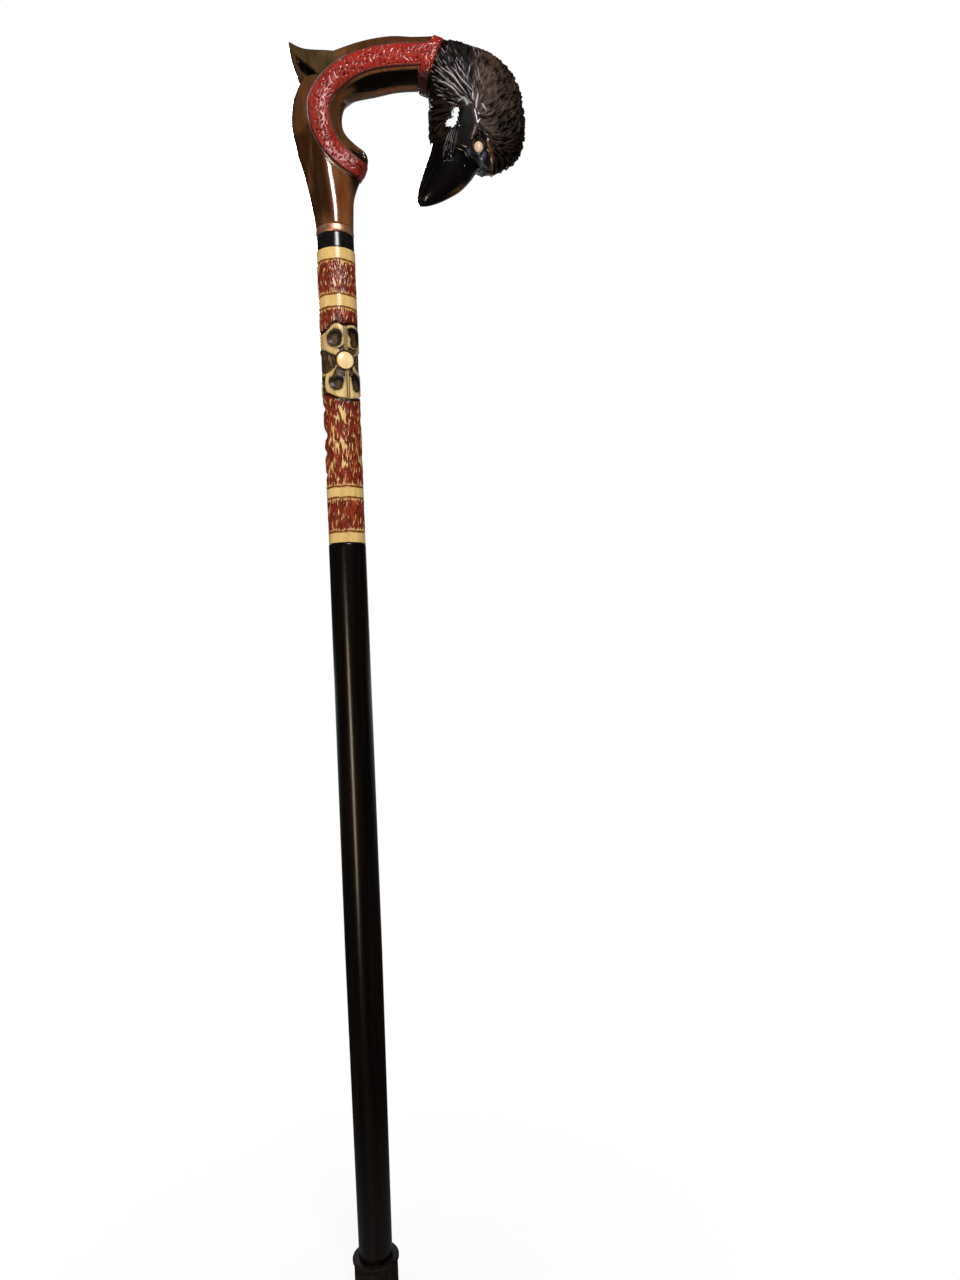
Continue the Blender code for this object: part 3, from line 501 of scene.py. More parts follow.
class Finish:
    """A Principled material and the nodes that feed it."""

    def __init__(self, name, roughness, **values):
        self.material = bpy.data.materials.new(name)
        self.material.use_nodes = True
        self.tree = self.material.node_tree
        self.shader = self.tree.nodes["Principled BSDF"]
        self.set(Roughness=roughness, **values)
        self.place = self.node("TexCoord").outputs["Object"]

    def set(self, **values):
        """Feeds the shader's inputs, which are named with _ for a space."""
        for key, value in values.items():
            feed(self.tree, self.shader.inputs[key.replace("_", " ")], value)

    def node(self, kind, values=(), **settings):
        return new_node(self.tree, kind, values, **settings)

    def colour(self, value):
        return value if isinstance(value, bpy.types.NodeSocket) else (*linear(value), 1.0)

    def noted(self, name):
        return self.node("Attribute", attribute_name=name).outputs["Fac"]

    def stretched(self, scale):
        return self.node("Mapping", {"Vector": self.place, "Scale": scale}).outputs["Vector"]

    def noise(self, scale, detail=3.0, vector=None, low=0.35, high=0.65):
        """Noise between 0 and 1, with its middle range spread out."""
        values = {"Vector": vector or self.place, "Scale": scale, "Detail": detail}
        found = self.node("TexNoise", values).outputs["Fac"]
        return self.spread(found, low, high)

    def spread(self, value, low, high, start=0.0, end=1.0):
        values = {"Value": value, "From Min": low, "From Max": high, "To Min": start, "To Max": end}
        return self.node("MapRange", values).outputs["Result"]

    def mix(self, share, first, second):
        """The first colour where the share is 0 and the second where it is 1."""
        values = {0: share, 6: self.colour(first), 7: self.colour(second)}
        return self.node("Mix", values, data_type="RGBA", clamp_factor=True).outputs[2]

    def lay(self, name, colour, second):
        """The colour, with the second one over it where the mesh has this note."""
        return self.mix(self.noted(name), colour, second)

    def math(self, operation, first, second):
        return self.node("Math", (first, second), operation=operation).outputs[0]

    def paint(self, colour):
        self.set(Base_Color=self.colour(colour))

    def rough(self, share, low, high):
        self.set(Roughness=self.spread(share, 0.0, 1.0, low, high))

    def relief(self, height, distance):
        self.set(Normal=self.node("Bump", {"Height": height, "Distance": distance, "Strength": 1.0}).outputs[0])


def handle_finish():
    finish = Finish("brown_lacquer", 0.1, Specular_IOR_Level=0.5)
    grain = finish.noise(240.0, 6.0, finish.stretched((1.0, 1.0, 0.14)), 0.3, 0.7)
    patches = finish.noise(55.0, 3.0)
    brown = finish.mix(grain, (124, 74, 40), (84, 44, 22))
    brown = finish.mix(finish.math("MULTIPLY", patches, 0.6), brown, (98, 72, 44))
    # Olive-brown over the spur: the wood's tone with the greyish sheen of a broad reflection painted in
    brown = finish.lay("olive_sheen", brown, finish.mix(grain, (100, 80, 52), (74, 56, 34)))
    # Painted shade: nearly black where the mesh notes shade
    finish.paint(finish.lay("shade", brown, (7, 3, 1)))
    finish.rough(finish.noted("dull"), 0.1, 0.5)
    finish.relief(finish.noise(600.0, 4.0, finish.stretched((1.0, 1.0, 0.2))), 0.00001)
    return finish.material


def red_finish():
    finish = Finish("red_stain", 0.2, Specular_IOR_Level=0.4)
    patches = finish.noise(110.0, 3.0)
    fine = finish.noise(700.0, 3.0)
    red = finish.mix(patches, (146, 34, 24), (120, 22, 20))
    red = finish.mix(finish.math("MULTIPLY", fine, 0.4), red, (166, 60, 40))
    # Painted shade: darker red in the gouges
    red = finish.lay("cut", red, (66, 8, 6))
    # Painted shade: dark red where the mesh notes shade
    finish.paint(finish.lay("shade", red, (18, 4, 4)))
    finish.rough(finish.noted("dull"), 0.2, 0.5)
    finish.relief(fine, 0.000008)
    return finish.material


def feather_finish():
    finish = Finish("feather_stain", 0.5, Specular_IOR_Level=0.1, Coat_Roughness=0.08)
    patches = finish.noise(90.0, 4.0)
    fine = finish.noise(800.0, 5.0)
    ridge = finish.mix(patches, (74, 54, 42), (36, 23, 16))
    ridge = finish.mix(finish.math("MULTIPLY", fine, 0.3), ridge, (96, 74, 60))
    ridge = finish.lay("warm", ridge, finish.mix(fine, (92, 62, 52), (58, 38, 32)))
    strands = finish.noted("strands")
    ridge = finish.mix(strands, ridge, finish.mix(fine, (38, 30, 30), (14, 10, 10)))
    ridge = finish.lay("edge", ridge, (64, 42, 26))
    face = finish.noted("face")
    cut = finish.noted("cut")
    # Painted shade: near black where the mesh notes cut, in the gouges and at the corner by the collar
    colour = finish.mix(cut, ridge, (5, 3, 2))
    colour = finish.mix(face, colour, finish.mix(patches, (6, 5, 6), (16, 11, 14)))
    # Painted sheen: pale purple-brown on the smooth ridge above the eye, with a painted highlight along the brow's
    # top
    colour = finish.lay("patch", colour, (66, 50, 50))
    colour = finish.lay("brow", colour, finish.mix(fine, (112, 78, 44), (58, 38, 22)))
    # Painted reflection: blue-grey on the glossy lower lid
    colour = finish.lay("lid", colour, (70, 80, 96))
    colour = finish.lay("ring", colour, (8, 6, 6))
    # Painted highlights: pale strands and spots where the mesh notes gleam
    colour = finish.lay("gleam", colour, (186, 176, 180))
    finish.paint(colour)
    glossy = finish.math("MAXIMUM", finish.math("MULTIPLY", strands, 0.3), finish.math("MULTIPLY", face, 0.75))
    finish.set(Coat_Weight=finish.math("SUBTRACT", glossy, cut))
    finish.rough(finish.noted("dull"), 0.5, 1.0)
    finish.relief(fine, 0.00002)
    return finish.material


def beak_finish():
    finish = Finish("beak_lacquer", 0.16, Specular_IOR_Level=0.5)
    fine = finish.noise(800.0, 5.0)
    colour = finish.mix(finish.noise(90.0, 4.0), (3, 2, 3), (9, 6, 8))
    colour = finish.lay("worn", colour, finish.mix(fine, (96, 66, 34), (30, 22, 16)))
    # Painted shade: black along the gape and in the bristle cuts
    colour = finish.lay("cut", colour, (3, 2, 2))
    # Painted highlights on the bill, along its bristles and beside the gape
    finish.paint(finish.lay("gleam", colour, (150, 142, 148)))
    finish.relief(fine, 0.000012)
    return finish.material


def bead_finish():
    finish = Finish("cream_bead", 0.42, Specular_IOR_Level=0.4)
    finish.paint(finish.mix(finish.noise(700.0, 3.0), (214, 188, 156), (188, 158, 124)))
    finish.relief(finish.noise(900.0, 3.0), 0.00001)
    return finish.material


def carved_finish():
    finish = Finish("carved_wood", 0.28, Specular_IOR_Level=0.5)
    grain = finish.noise(260.0, 5.0, finish.stretched((1.0, 1.0, 0.12)))
    fine = finish.noise(900.0, 3.0)
    bare = finish.mix(grain, (210, 182, 118), (194, 160, 96))
    blotches = finish.noise(330.0, 4.0, finish.stretched((1.0, 1.0, 0.35)))
    # Darker stain where the mesh notes tone: random per chip and beside the flower, with painted shade in the deeper
    # chips and the bites
    stain = finish.lay("tone", finish.mix(blotches, (156, 58, 32), (100, 24, 8)), (70, 12, 2))
    stain = finish.mix(finish.math("MULTIPLY", fine, 0.15), stain, (170, 84, 58))
    colour = finish.lay("stain", bare, stain)
    colour = finish.lay("flower", colour, finish.mix(grain, (210, 184, 126), (170, 138, 82)))
    hollow = finish.noted("hollow")
    colour = finish.mix(hollow, colour, finish.mix(grain, (88, 62, 30), (46, 28, 10)))
    # Painted shade: near black at the hollows' rims, under their top edges, in the cuts down them and deep in the
    # leaves
    colour = finish.lay("dark", colour, (14, 5, 0))
    colour = finish.lay("middle", colour, (138, 110, 72))
    colour = finish.lay("line", colour, (116, 58, 20))
    colour = finish.lay("outline", colour, (36, 8, 3))
    finish.paint(colour)
    finish.rough(hollow, 0.22, 0.42)
    finish.relief(fine, 0.00003)
    return finish.material


def cream_finish():
    finish = Finish("cream_wood", 0.25, Specular_IOR_Level=0.5)
    grain = finish.noise(300.0, 4.0, finish.stretched((1.0, 1.0, 0.2)))
    cream = finish.mix(grain, (232, 210, 156), (220, 190, 132))
    finish.paint(finish.lay("edge", cream, (150, 84, 34)))
    finish.relief(grain, 0.00003)
    return finish.material


def ring_finish():
    finish = Finish("black_gloss", 0.17, Specular_IOR_Level=0.5)
    finish.paint(finish.mix(finish.noise(400.0, 4.0), (10, 8, 9), (24, 20, 22)))
    finish.relief(finish.noise(1200.0, 3.0), 0.00002)
    return finish.material


def copper_finish():
    finish = Finish("bright_copper", 0.42, Metallic=0.9)
    finish.paint(finish.mix(finish.noise(300.0, 4.0), (246, 188, 156), (204, 134, 102)))
    finish.relief(finish.noise(900.0, 3.0, finish.stretched((0.2, 0.2, 1.0))), 0.000012)
    return finish.material


def shaft_finish():
    finish = Finish("shaft_stain", 0.22, Specular_IOR_Level=0.4)
    streaks = finish.noise(300.0, 5.0, finish.stretched((1.0, 1.0, 0.03)))
    broad = finish.noise(70.0, 3.0, finish.stretched((1.0, 1.0, 0.1)))
    colour = finish.mix(streaks, (3, 2, 2), (15, 9, 6))
    finish.paint(finish.mix(finish.math("MULTIPLY", broad, 0.7), colour, (5, 3, 2)))
    finish.relief(streaks, 0.00002)
    return finish.material


def rubber_finish():
    finish = Finish("foot_rubber", 0.7, Specular_IOR_Level=0.15)
    finish.paint(finish.mix(finish.noise(250.0, 5.0), (9, 6, 5), (24, 17, 14)))
    finish.relief(finish.noise(700.0, 5.0), 0.00006)
    return finish.material


def metal_finish(name, first, second, roughness):
    finish = Finish(name, roughness, Metallic=1.0)
    turned = finish.noise(600.0, 3.0, finish.stretched((0.1, 0.1, 1.0)))
    finish.paint(finish.mix(turned, first, second))
    finish.relief(turned, 0.00003)
    return finish.material


def dowel_finish():
    finish = Finish("dowel_wood", 0.6)
    grain = finish.noise(500.0, 4.0, finish.stretched((0.1, 1.0, 1.0)))
    finish.paint(finish.mix(grain, (200, 166, 114), (168, 128, 82)))
    finish.relief(grain, 0.0001)
    return finish.material


# Crook


def in_handle(rows):
    """Outline rows with their heights above the floor."""
    rows = np.array(rows, float)
    rows[:, 1] += HANDLE_BOTTOM
    rows[:, 3] += HANDLE_BOTTOM
    return rows


def joint_row(centre):
    low, high = centre - JOINT_UP * COLLAR_HALF_LENGTH, centre + JOINT_UP * COLLAR_HALF_LENGTH
    return (*low, *high, COLLAR_HALF_THICKNESS, COLLAR_SQUARENESS)


def crook_rings(points, steps, grow=0.0, overrun=0.0):
    """Sections of the crook from its foot to the collar, grown all round and overrunning the collar's face."""
    rows = smooth_rows(HANDLE_ROWS, steps)
    rows = np.vstack([rows, joint_row(COLLAR_INNER + JOINT_ALONG * overrun)])
    return sections(in_handle(rows), points, grow)


def rod(name, start, end, radius, points=48):
    """A plain rod between two points, for a bore."""
    start, end = Vector(start), Vector(end)
    turn = (end - start).to_track_quat("Z", "Y").to_matrix().to_4x4()
    mesh = turned(name, filled([(radius, 0.0), (radius, (end - start).length)], 0.004), points)
    mesh.transform(Matrix.Translation(start) @ turn)
    return add_object(name, mesh)


def dowel_bore(name, back, ahead):
    """A bore along the joint, from this far behind the collar's inner face to this far ahead of it."""
    start, end = COLLAR_INNER - JOINT_ALONG * back, COLLAR_INNER + JOINT_ALONG * ahead
    ends = [(x, 0.0, z + HANDLE_BOTTOM) for x, z in (start, end)]
    return rod(name, *ends, DOWEL_BORE)


def bore_rows(*centres):
    """Outline rows of the dowel's bore about these points of the side view."""
    reach = JOINT_UP * DOWEL_BORE
    return [(*(centre - reach), *(centre + reach), DOWEL_BORE, 2.0) for centre in centres]


def strip_line(overrun, steps):
    start = COLLAR_INNER - JOINT_UP * STRIP_DROP_AT_COLLAR + JOINT_ALONG * overrun
    return smooth_rows(((*start, STRIP_WIDTH_AT_COLLAR), *STRIP_ROWS), steps)


def strip_distance(side):
    """How many millimetres each place of the side view lies outside the strip's edge.

    With it come the share of the strip's length before the nearest point, and whether the place is on the outer side.
    """
    line = strip_line(0.0, 6)
    distance, share = line_distance(side, line[:, :2])
    travelled = np.concatenate([[0.0], np.cumsum(np.linalg.norm(np.diff(line[:, :2], axis=0), axis=1))])
    x, z, width = (np.interp(share, travelled / travelled[-1], values) for values in line.T)
    nearest = np.stack([x, z], axis=1)
    outer = np.linalg.norm(side - BEND_CENTRE, axis=1) > np.linalg.norm(nearest - BEND_CENTRE, axis=1)
    return (distance - width / 2) / MM, share, outer


def strip_prism(name, clearance, overrun, near, far):
    """The strip's outline in the side view, widened by the clearance, from y = near to y = far."""
    line = strip_line(overrun, 6)
    along = np.gradient(line[:, :2], axis=0)
    along /= np.linalg.norm(along, axis=1)[:, None]
    across = np.stack([along[:, 1], -along[:, 0]], axis=1)
    across[0] = JOINT_UP * np.sign(across[0] @ JOINT_UP)
    reach = across * (line[:, 2:3] / 2 + clearance)
    low, high = line[:, :2] - reach, line[:, :2] + reach
    corners = [(low, near), (high, near), (high, far), (low, far)]
    sides = [
        np.stack([side[:, 0], np.full(len(side), y), side[:, 1] + HANDLE_BOTTOM], axis=1) for side, y in corners
    ]
    verts = np.stack(sides, axis=1).reshape(-1, 3)
    faces = [face for face in skin_faces(len(line), 4, False) if len(face) == 4]
    faces += [[3, 2, 1, 0], list(range(len(verts) - 4, len(verts)))]
    return add_object(name, mesh_of(name, verts, faces))


BEND_CENTRE = np.array((0.018, 0.077))
KEEL = ((-15.6, 66.3), (-15.2, 52.1), (-13.8, 41.3), (-12.2, 30.8), (-11.5, 17.4), (-11.0, 4.4), (-10.6, -1.0))
SPUR_HOLLOW = (
    (-22.0, 121.0), (-17.5, 116.0), (-9.0, 107.5), (-5.5, 102.0), (-12.5, 102.5), (-18.5, 108.0),
    (-21.6, 114.5),
)
THUMB_REST_DRAW = 0.3


def slimmed(verts):
    """The points with the neck drawn in toward the thumb rest, which leaves a round column on its left."""
    x = verts[:, 0] / MM
    z = (verts[:, 2] - HANDLE_BOTTOM) / MM
    rise = step_up(z, 6.0, 42.0) * step_up(z, 74.0, 58.0)
    rise[np.hypot(x, verts[:, 1] / MM) < 4.8] = 0.0
    drawn = verts.copy()
    drawn[:, 1] *= 1 - THUMB_REST_DRAW * rise * step_up(x + 0.1 * z, 0.0, 16.0)
    return drawn


def make_handle():
    spigot = [
        (SPIGOT_RADIUS, z, -SPIGOT_RADIUS, z, SPIGOT_RADIUS, 2.0)
        for z in (HANDLE_BOTTOM - SPIGOT_LENGTH, HANDLE_BOTTOM)
    ]
    rings = np.vstack([sections(spigot, 96), crook_rings(96, 4)])
    body = add_object("body", mesh_of("body", *skin(rings)))
    spur = add_object("spur", mesh_of("spur", *skin(sections(in_handle(smooth_rows(SPUR_ROWS, 5)), 72))))
    stud = rod(
        "stud_bore",
        (0.0, 0.0, HANDLE_BOTTOM - SPIGOT_LENGTH - 0.002),
        (0.0, 0.0, HANDLE_BOTTOM + STUD_LENGTH + SEAT_GAP),
        STUD_BORE,
    )
    dowel = dowel_bore("dowel_bore", DOWEL_INTO_HANDLE + SEAT_GAP, 0.002)
    with_boolean(body, spur, "UNION")
    with_boolean(body, stud, "DIFFERENCE")
    with_boolean(body, dowel, "DIFFERENCE")
    mesh = settled("carved_handle", body, HANDLE_VOXEL, (spur, stud, dowel))
    move_points(mesh, slimmed(points_of(mesh)))
    soften(mesh, 8)

    verts, normals = points_of(mesh), normals_of(mesh)
    side = np.stack([verts[:, 0], verts[:, 2] - HANDLE_BOTTOM], axis=1)
    places = side / MM
    x, z = places.T
    depth = np.abs(verts[:, 1]) / MM
    facing = step_up(np.abs(normals[:, 1]), 0.15, 0.6) * step_up(depth, 1.5, 5.0)
    edge, _, outer = strip_distance(side)

    grooves = bump(edge - 0.5, 0.7) * 0.25 + bump(edge - 2.8, 0.7) * 0.18
    bead = bump(edge - 1.7, 0.7) * 0.06
    keel, _ = line_distance(places, KEEL)
    crease = bump(keel, 2.4) * 0.9
    hollow = inside_distance(places, SPUR_HOLLOW)
    scoop = step_up(hollow, -1.0, 4.0) * 3.0
    chamfer = np.clip(edge, 0.0, 4.0) * 0.36 * ~outer * step_up(edge, 0.0, 1.2)
    thumb = step_up(x, 10.0, 16.0) * step_up(z, 18.0, 30.0) * step_up(62.0 - z, 0.0, 12.0)
    thumb *= step_up(edge, 0.2, 1.2)
    stipple = (np.sin(4.1 * x + 1.3 * z) * np.sin(3.7 * z - 1.1 * x) * 0.5 + 0.5) * thumb * 0.22
    height = (bead - grooves - crease - scoop - chamfer - stipple) * facing * step_up(edge, -0.3, 0.0)
    seat = step_up(-edge, -0.25, 0.35) * 1.35 * step_up(depth, 0.6, 1.6)
    bored = (np.hypot(verts[:, 0], verts[:, 1]) < 0.0048) & (z < 22.0)
    height = np.where(bored | (z < 0.6), 0.0, height - seat)
    raise_points(mesh, height * MM)
    soften(mesh, 3)

    # Painted shade under the strip, in the moulding's grooves, the keel crease and the spur's hollow, on the thumb
    # rest and down the neck's left column; the throat and the top band beside the strip are darkened too
    under = ~outer * step_up(edge, 1.6, 3.6) * step_up(x + 0.6 * (z - 95), 6.0, 22.0)
    under *= step_up(depth, 0.5, 5.0) * step_up(z, 78.0, 88.0)
    top_band = outer * step_up(x, 8.0, 26.0) * 0.6
    lines = (bump(edge - 0.3, 0.55) * 0.85 + bump(edge - 2.5, 0.5) * 0.6) * facing
    column = step_up(x - 0.1 * (46.0 - z), 0.5, -5.5) * step_up(z, -8.0, 12.0) * step_up(74.0 - z, 0.0, 14.0)
    column *= 1 - 0.5 * bump(x + 21.0 - 0.2 * z, 2.5) * (x < -12.0)
    throat = step_up(z, 45.0, 62.0) * (1 - step_up(x + z - 112.0, 0.0, 20.0)) * 0.5
    spur = step_up(z, 96.0, 108.0) * step_up(14.0 - x, 0.0, 14.0)
    shade = lines + bump(keel, 2.6) * 0.75 * facing + step_up(hollow, -2.2, 1.2) + under + thumb * 0.9
    shade = np.max([shade, column * 0.82, throat, top_band], axis=0)
    # Olive-brown over the spur, with a painted reflection sheen in it
    note(mesh, "olive_sheen", spur * 0.9)
    note(mesh, "dull", lines)
    note(mesh, "shade", shade)
    piece("carved_handle", mesh, handle_finish(), "handle_lacquer", "handle", sharp=math.radians(70))


# Grain of each kind of cut: its angle, and how far apart the cuts lie along and across it
RED_GRAIN = (0.9, 3.8, 1.6)
BRISTLE_GRAIN = (-2.0, 2.4, 0.9)
CHIP_GRAIN = (math.pi / 2, 3.6, 0.95)
SLIVER_GRAIN = (math.pi / 2, 8.0, 4.0)


def red_gouges(rng, low, high):
    """Gouge marks in the red wood, with most of them leaning the same way."""
    gouges = []
    for place in scattered(rng, low, high, 9000, RED_GRAIN):
        angle = rng.choice((0.85, 2.2), p=(0.7, 0.3)) + rng.normal(0.0, 0.25)
        half = np.array((math.cos(angle), math.sin(angle))) * rng.uniform(1.5, 3.0)
        bend = np.array((-half[1], half[0])) * rng.uniform(-0.15, 0.15)
        path = np.array([place - half, place + bend, place + half])
        width = rng.uniform(0.65, 1.1)
        gouges.append((path, width, width * rng.uniform(0.2, 0.75)))
    return gouges


def make_strips(material):
    rng = np.random.default_rng(11)
    for side, near, far in (("front", -STRIP_REACH, -SEAT_GAP / 2), ("back", SEAT_GAP / 2, STRIP_REACH)):
        strip = strip_prism(f"strip_{side}", 0.0, 0.0006, near, far)
        raised = add_object("raised", mesh_of("raised", *skin(crook_rings(72, 3, STRIP_PROUD, 0.002))))
        seat = add_object("seat", mesh_of("seat", *skin(crook_rings(72, 3, SEAT_GAP - STRIP_DEPTH, 0.004))))
        with_boolean(strip, raised, "INTERSECT")
        with_boolean(strip, seat, "DIFFERENCE")
        mesh = settled(f"red_strip_{side}", strip, STRIP_VOXEL, (raised, seat))
        move_points(mesh, slimmed(points_of(mesh)))
        soften(mesh, 3)
        verts, normals = points_of(mesh), normals_of(mesh)
        edge, share, _ = strip_distance(np.stack([verts[:, 0], verts[:, 2] - HANDLE_BOTTOM], axis=1))
        inward = -edge
        places = verts[:, [0, 2]] / MM
        outside = step_up(normals[:, 1] * np.sign(far + near), 0.1, 0.5)
        cut, _ = gouge_depth(places, red_gouges(rng, places.min(axis=0), places.max(axis=0)))
        crown = 1 - (1 - np.clip(inward / 7.0, 0.0, 1.0)) ** 2
        raise_points(mesh, (crown - cut * step_up(inward, 0.3, 1.4)) * outside * MM)
        soften(mesh, 1)
        bow = step_up(share, 0.28, 0.5)
        # Painted shade in the gouges, darker where they cut deeper
        note(mesh, "cut", np.clip(cut * 1.9, 0.0, 1.0) * outside)
        # Painted shade: darker red along the strip's edges, over its bow and at its end by the thumb rest
        end = step_up(verts[:, 0], 0.010, 0.024) * step_up(HANDLE_BOTTOM + 0.058 - verts[:, 2], 0.0, 0.012)
        note(mesh, "shade", np.maximum(step_up(inward, 1.5, 0.1) * 0.6, bow * 0.12 + end * 0.4))
        note(mesh, "dull", np.maximum(step_up(inward, 1.5, 0.5) * 0.75, 0.3 * bow))
        piece(f"red_strip_{side}", mesh, material, "red_stain", f"red_inlay_{side}", sharp=math.radians(70))


def make_collar(material):
    points, steps = 300, 36
    inner, outer = COLLAR_INNER + JOINT_ALONG * SEAT_GAP, COLLAR_OUTER - JOINT_ALONG * SEAT_GAP
    bore = sections(bore_rows(inner, outer), points)
    share = np.arange(steps + 1) / steps
    rows = [joint_row(inner + (outer - inner) * s) for s in share]
    rings = sections(rows, points)
    grown = sections(rows, points, COLLAR_PROUD)
    across = (rings[0][:, [0, 2]] - COLLAR_INNER) @ JOINT_UP / MM
    by_strip = step_up(np.abs(across + 0.8), 8.2, 6.6) * (np.abs(rings[0][:, 1]) > 0.004)
    start = np.maximum(by_strip[None] * 0.95, 1 - np.clip(1 - share * 7, 0.0, 1.0)[:, None] ** 2)
    end = 1 - np.clip(1 - (1 - share) * 5, 0.0, 1.0)[:, None] ** 2
    rings = rings + (grown - rings) * np.minimum(start, end)[:, :, None]
    low_face = rings[0] + (bore[0] - rings[0]) * 0.5
    high_face = rings[-1] + (bore[-1] - rings[-1]) * 0.5
    full = np.vstack([bore[:1], low_face[None], rings, high_face[None], bore[1:]])
    full[:, :, 2] += HANDLE_BOTTOM
    mesh = mesh_of("red_collar_band", *skin(full, loop=True))
    verts = points_of(mesh)
    row = np.repeat(np.arange(len(full)), points)
    outside = ((row > 2) & (row < len(full) - 3)).astype(float)
    perimeter = np.linalg.norm(rings[0] - np.roll(rings[0], 1, axis=0), axis=1).sum() / MM
    width = COLLAR_WIDTH / MM
    around = np.tile(np.arange(points) / points, len(full)) * perimeter
    rng = np.random.default_rng(23)
    gouges = red_gouges(rng, (0.0, 0.4), (perimeter, width - 0.4))
    cut, _ = gouge_depth(np.stack([around, (row - 2) / steps * width], axis=1), gouges)
    raise_points(mesh, -cut * outside * MM)
    # Painted shade in the gouges
    note(mesh, "cut", np.clip(cut * 1.6, 0.0, 1.0) * outside)
    height = (verts[:, 2] - HANDLE_BOTTOM) / MM
    # Painted shade: the collar's lower end darkens to near black
    note(mesh, "shade", step_up(107.0 - height, 0.0, 9.0) * 0.9)
    note(mesh, "dull", step_up(103.0 - height, 0.0, 4.0))
    piece("red_collar_band", mesh, material, "red_stain", "red_collar")


# Bird's head

FACE_CENTRE = np.array((25.0, -39.5))
FLOW = (
    (-180, 180), (-150, 205), (-120, 238), (-91, 250), (-90, -90), (-74, -70), (-65, -30), (-51, 3), (-37, 28),
    (-12, 47), (8, 50), (30, 54), (60, 62), (84, 90), (95, 94), (128, 130), (170, 168), (180, 180),
)
FACE = (
    (3.2, -53.0), (3.4, -46.0), (8.2, -44.0), (8.6, -38.0), (12.0, -35.4), (16.5, -37.5), (22.6, -38.7),
    (28.3, -43.4), (29.7, -51.1), (32.4, -56.1), (35.8, -60.0), (36.8, -67.5), (37.4, -71.9), (36.0, -110.0),
    (-30.0, -110.0), (-8.0, -62.0), (-4.0, -58.5), (2.0, -56.5),
)
CHEEK = (
    (3.8, -51.4), (4.2, -46.4), (6.6, -44.2), (9.6, -44.6), (9.4, -41.0), (10.2, -37.2), (12.5, -36.0),
    (15.6, -37.4), (15.0, -42.0), (13.6, -47.2), (11.4, -52.0),
)
CHEEK_CENTRE = (10.0, -17.2, -44.5)
CHEEK_FACING = (0.13, -0.99, -0.02)
BRISTLES = ((6.0, -52.5), (13.0, -51.0), (12.4, -62.0), (9.0, -70.0), (2.0, -71.0), (3.5, -62.0))
ALMOND = (
    (26.9, -52.6), (24.3, -57.6), (22.6, -62.0), (23.2, -67.0), (27.2, -69.0), (30.7, -67.8), (32.6, -64.6),
    (31.9, -59.5), (29.5, -55.2),
)
BROW_HIGH = ((29.0, -49.5), (30.5, -51.0), (34.6, -54.9), (38.0, -57.4))
BROW = ((33.2, -61.5), (34.6, -66.0), (35.6, -70.0), (35.6, -73.0))
LID = ((19.8, -66.4), (21.6, -69.4), (25.0, -71.0), (28.6, -70.6), (30.4, -68.6))
PATCH = ((24.6, -41.0), (25.4, -45.0), (26.2, -50.0), (25.2, -53.4), (23.2, -57.4))
GAPE = (
    (12.5, -51.0), (11.5, -53.9), (6.9, -59.5), (2.2, -67.2), (-2.4, -73.4), (-7.2, -80.5), (-12.0, -88.4),
    (-15.5, -94.5),
)
# Painted highlights as pale strands and spots: half width, strength and the line of each
GLEAMS = (
    (0.7, 0.75, ((24.3, -28.5), (24.0, -34.5))),
    (0.9, 0.80, ((28.0, -29.5), (26.6, -35.0), (26.0, -40.5))),
    (1.0, 0.60, ((30.0, -37.0), (31.5, -39.0), (33.0, -41.5))),
    (0.6, 0.55, ((13.5, -34.5), (18.0, -32.0), (22.0, -36.5))),
    (0.6, 0.55, ((15.0, -31.0), (19.0, -34.0), (20.0, -38.0))),
    (0.7, 0.70, ((3.0, -9.0), (8.0, -13.5), (12.5, -18.5), (20.0, -29.5))),
    (0.6, 0.65, ((10.0, -9.0), (13.0, -13.0), (16.0, -18.5), (24.0, -28.0))),
    (0.6, 0.65, ((0.5, -17.5), (6.0, -20.5), (12.0, -26.5), (15.0, -30.5))),
    (0.5, 0.50, ((6.5, -8.5), (11.0, -15.5), (16.5, -24.0))),
    (0.5, 0.50, ((4.0, -15.5), (9.0, -20.0), (17.0, -29.5))),
    (0.5, 0.50, ((13.0, -4.0), (15.5, -11.0), (21.0, -20.0))),
    (0.4, 0.40, ((28.0, -10.0), (28.6, -15.0), (29.0, -21.0))),
    (0.5, 0.45, ((1.0, -11.5), (5.0, -16.0))),
    (0.4, 0.45, ((24.9, -51.5), (24.3, -54.5), (22.8, -57.8))),
    (0.9, 0.45, ((35.0, -69.6), (35.6, -71.8))),
    (0.5, 0.70, ((28.0, -69.7), (29.2, -70.3))),
    (0.3, 0.45, ((7.4, -52.5), (5.0, -57.0), (2.4, -61.5))),
    (0.25, 0.40, ((8.6, -52.0), (6.6, -57.0), (4.0, -63.5))),
    (0.3, 0.50, ((10.0, -52.0), (7.8, -58.0), (5.2, -64.0))),
    (0.25, 0.35, ((11.4, -52.0), (9.6, -57.0), (6.6, -66.0))),
    (0.25, 0.25, ((12.8, -52.5), (11.4, -58.0), (8.8, -65.5))),
    (0.3, 0.40, ((4.5, -60.0), (1.8, -67.5))),
    (0.3, 0.30, ((31.5, -75.0), (33.5, -76.3), (36.5, -75.8), (39.0, -74.4))),
)
SHEEN = (
    (0.0, -6.0), (6.0, 3.0), (14.0, 2.0), (22.0, -12.0), (27.0, -28.0), (36.0, -34.0), (34.0, -44.0),
    (22.0, -40.0), (12.0, -36.0), (4.0, -28.0), (-2.0, -16.0),
)
BEAK_MARKS = ((16.9, -74.0, 1.0, 0.5), (11.9, -81.4, 1.2, -0.5), (13.2, -79.0, 1.2, 0.35))
BIRD_POINTS = 440
BIRD_STEPS = 30
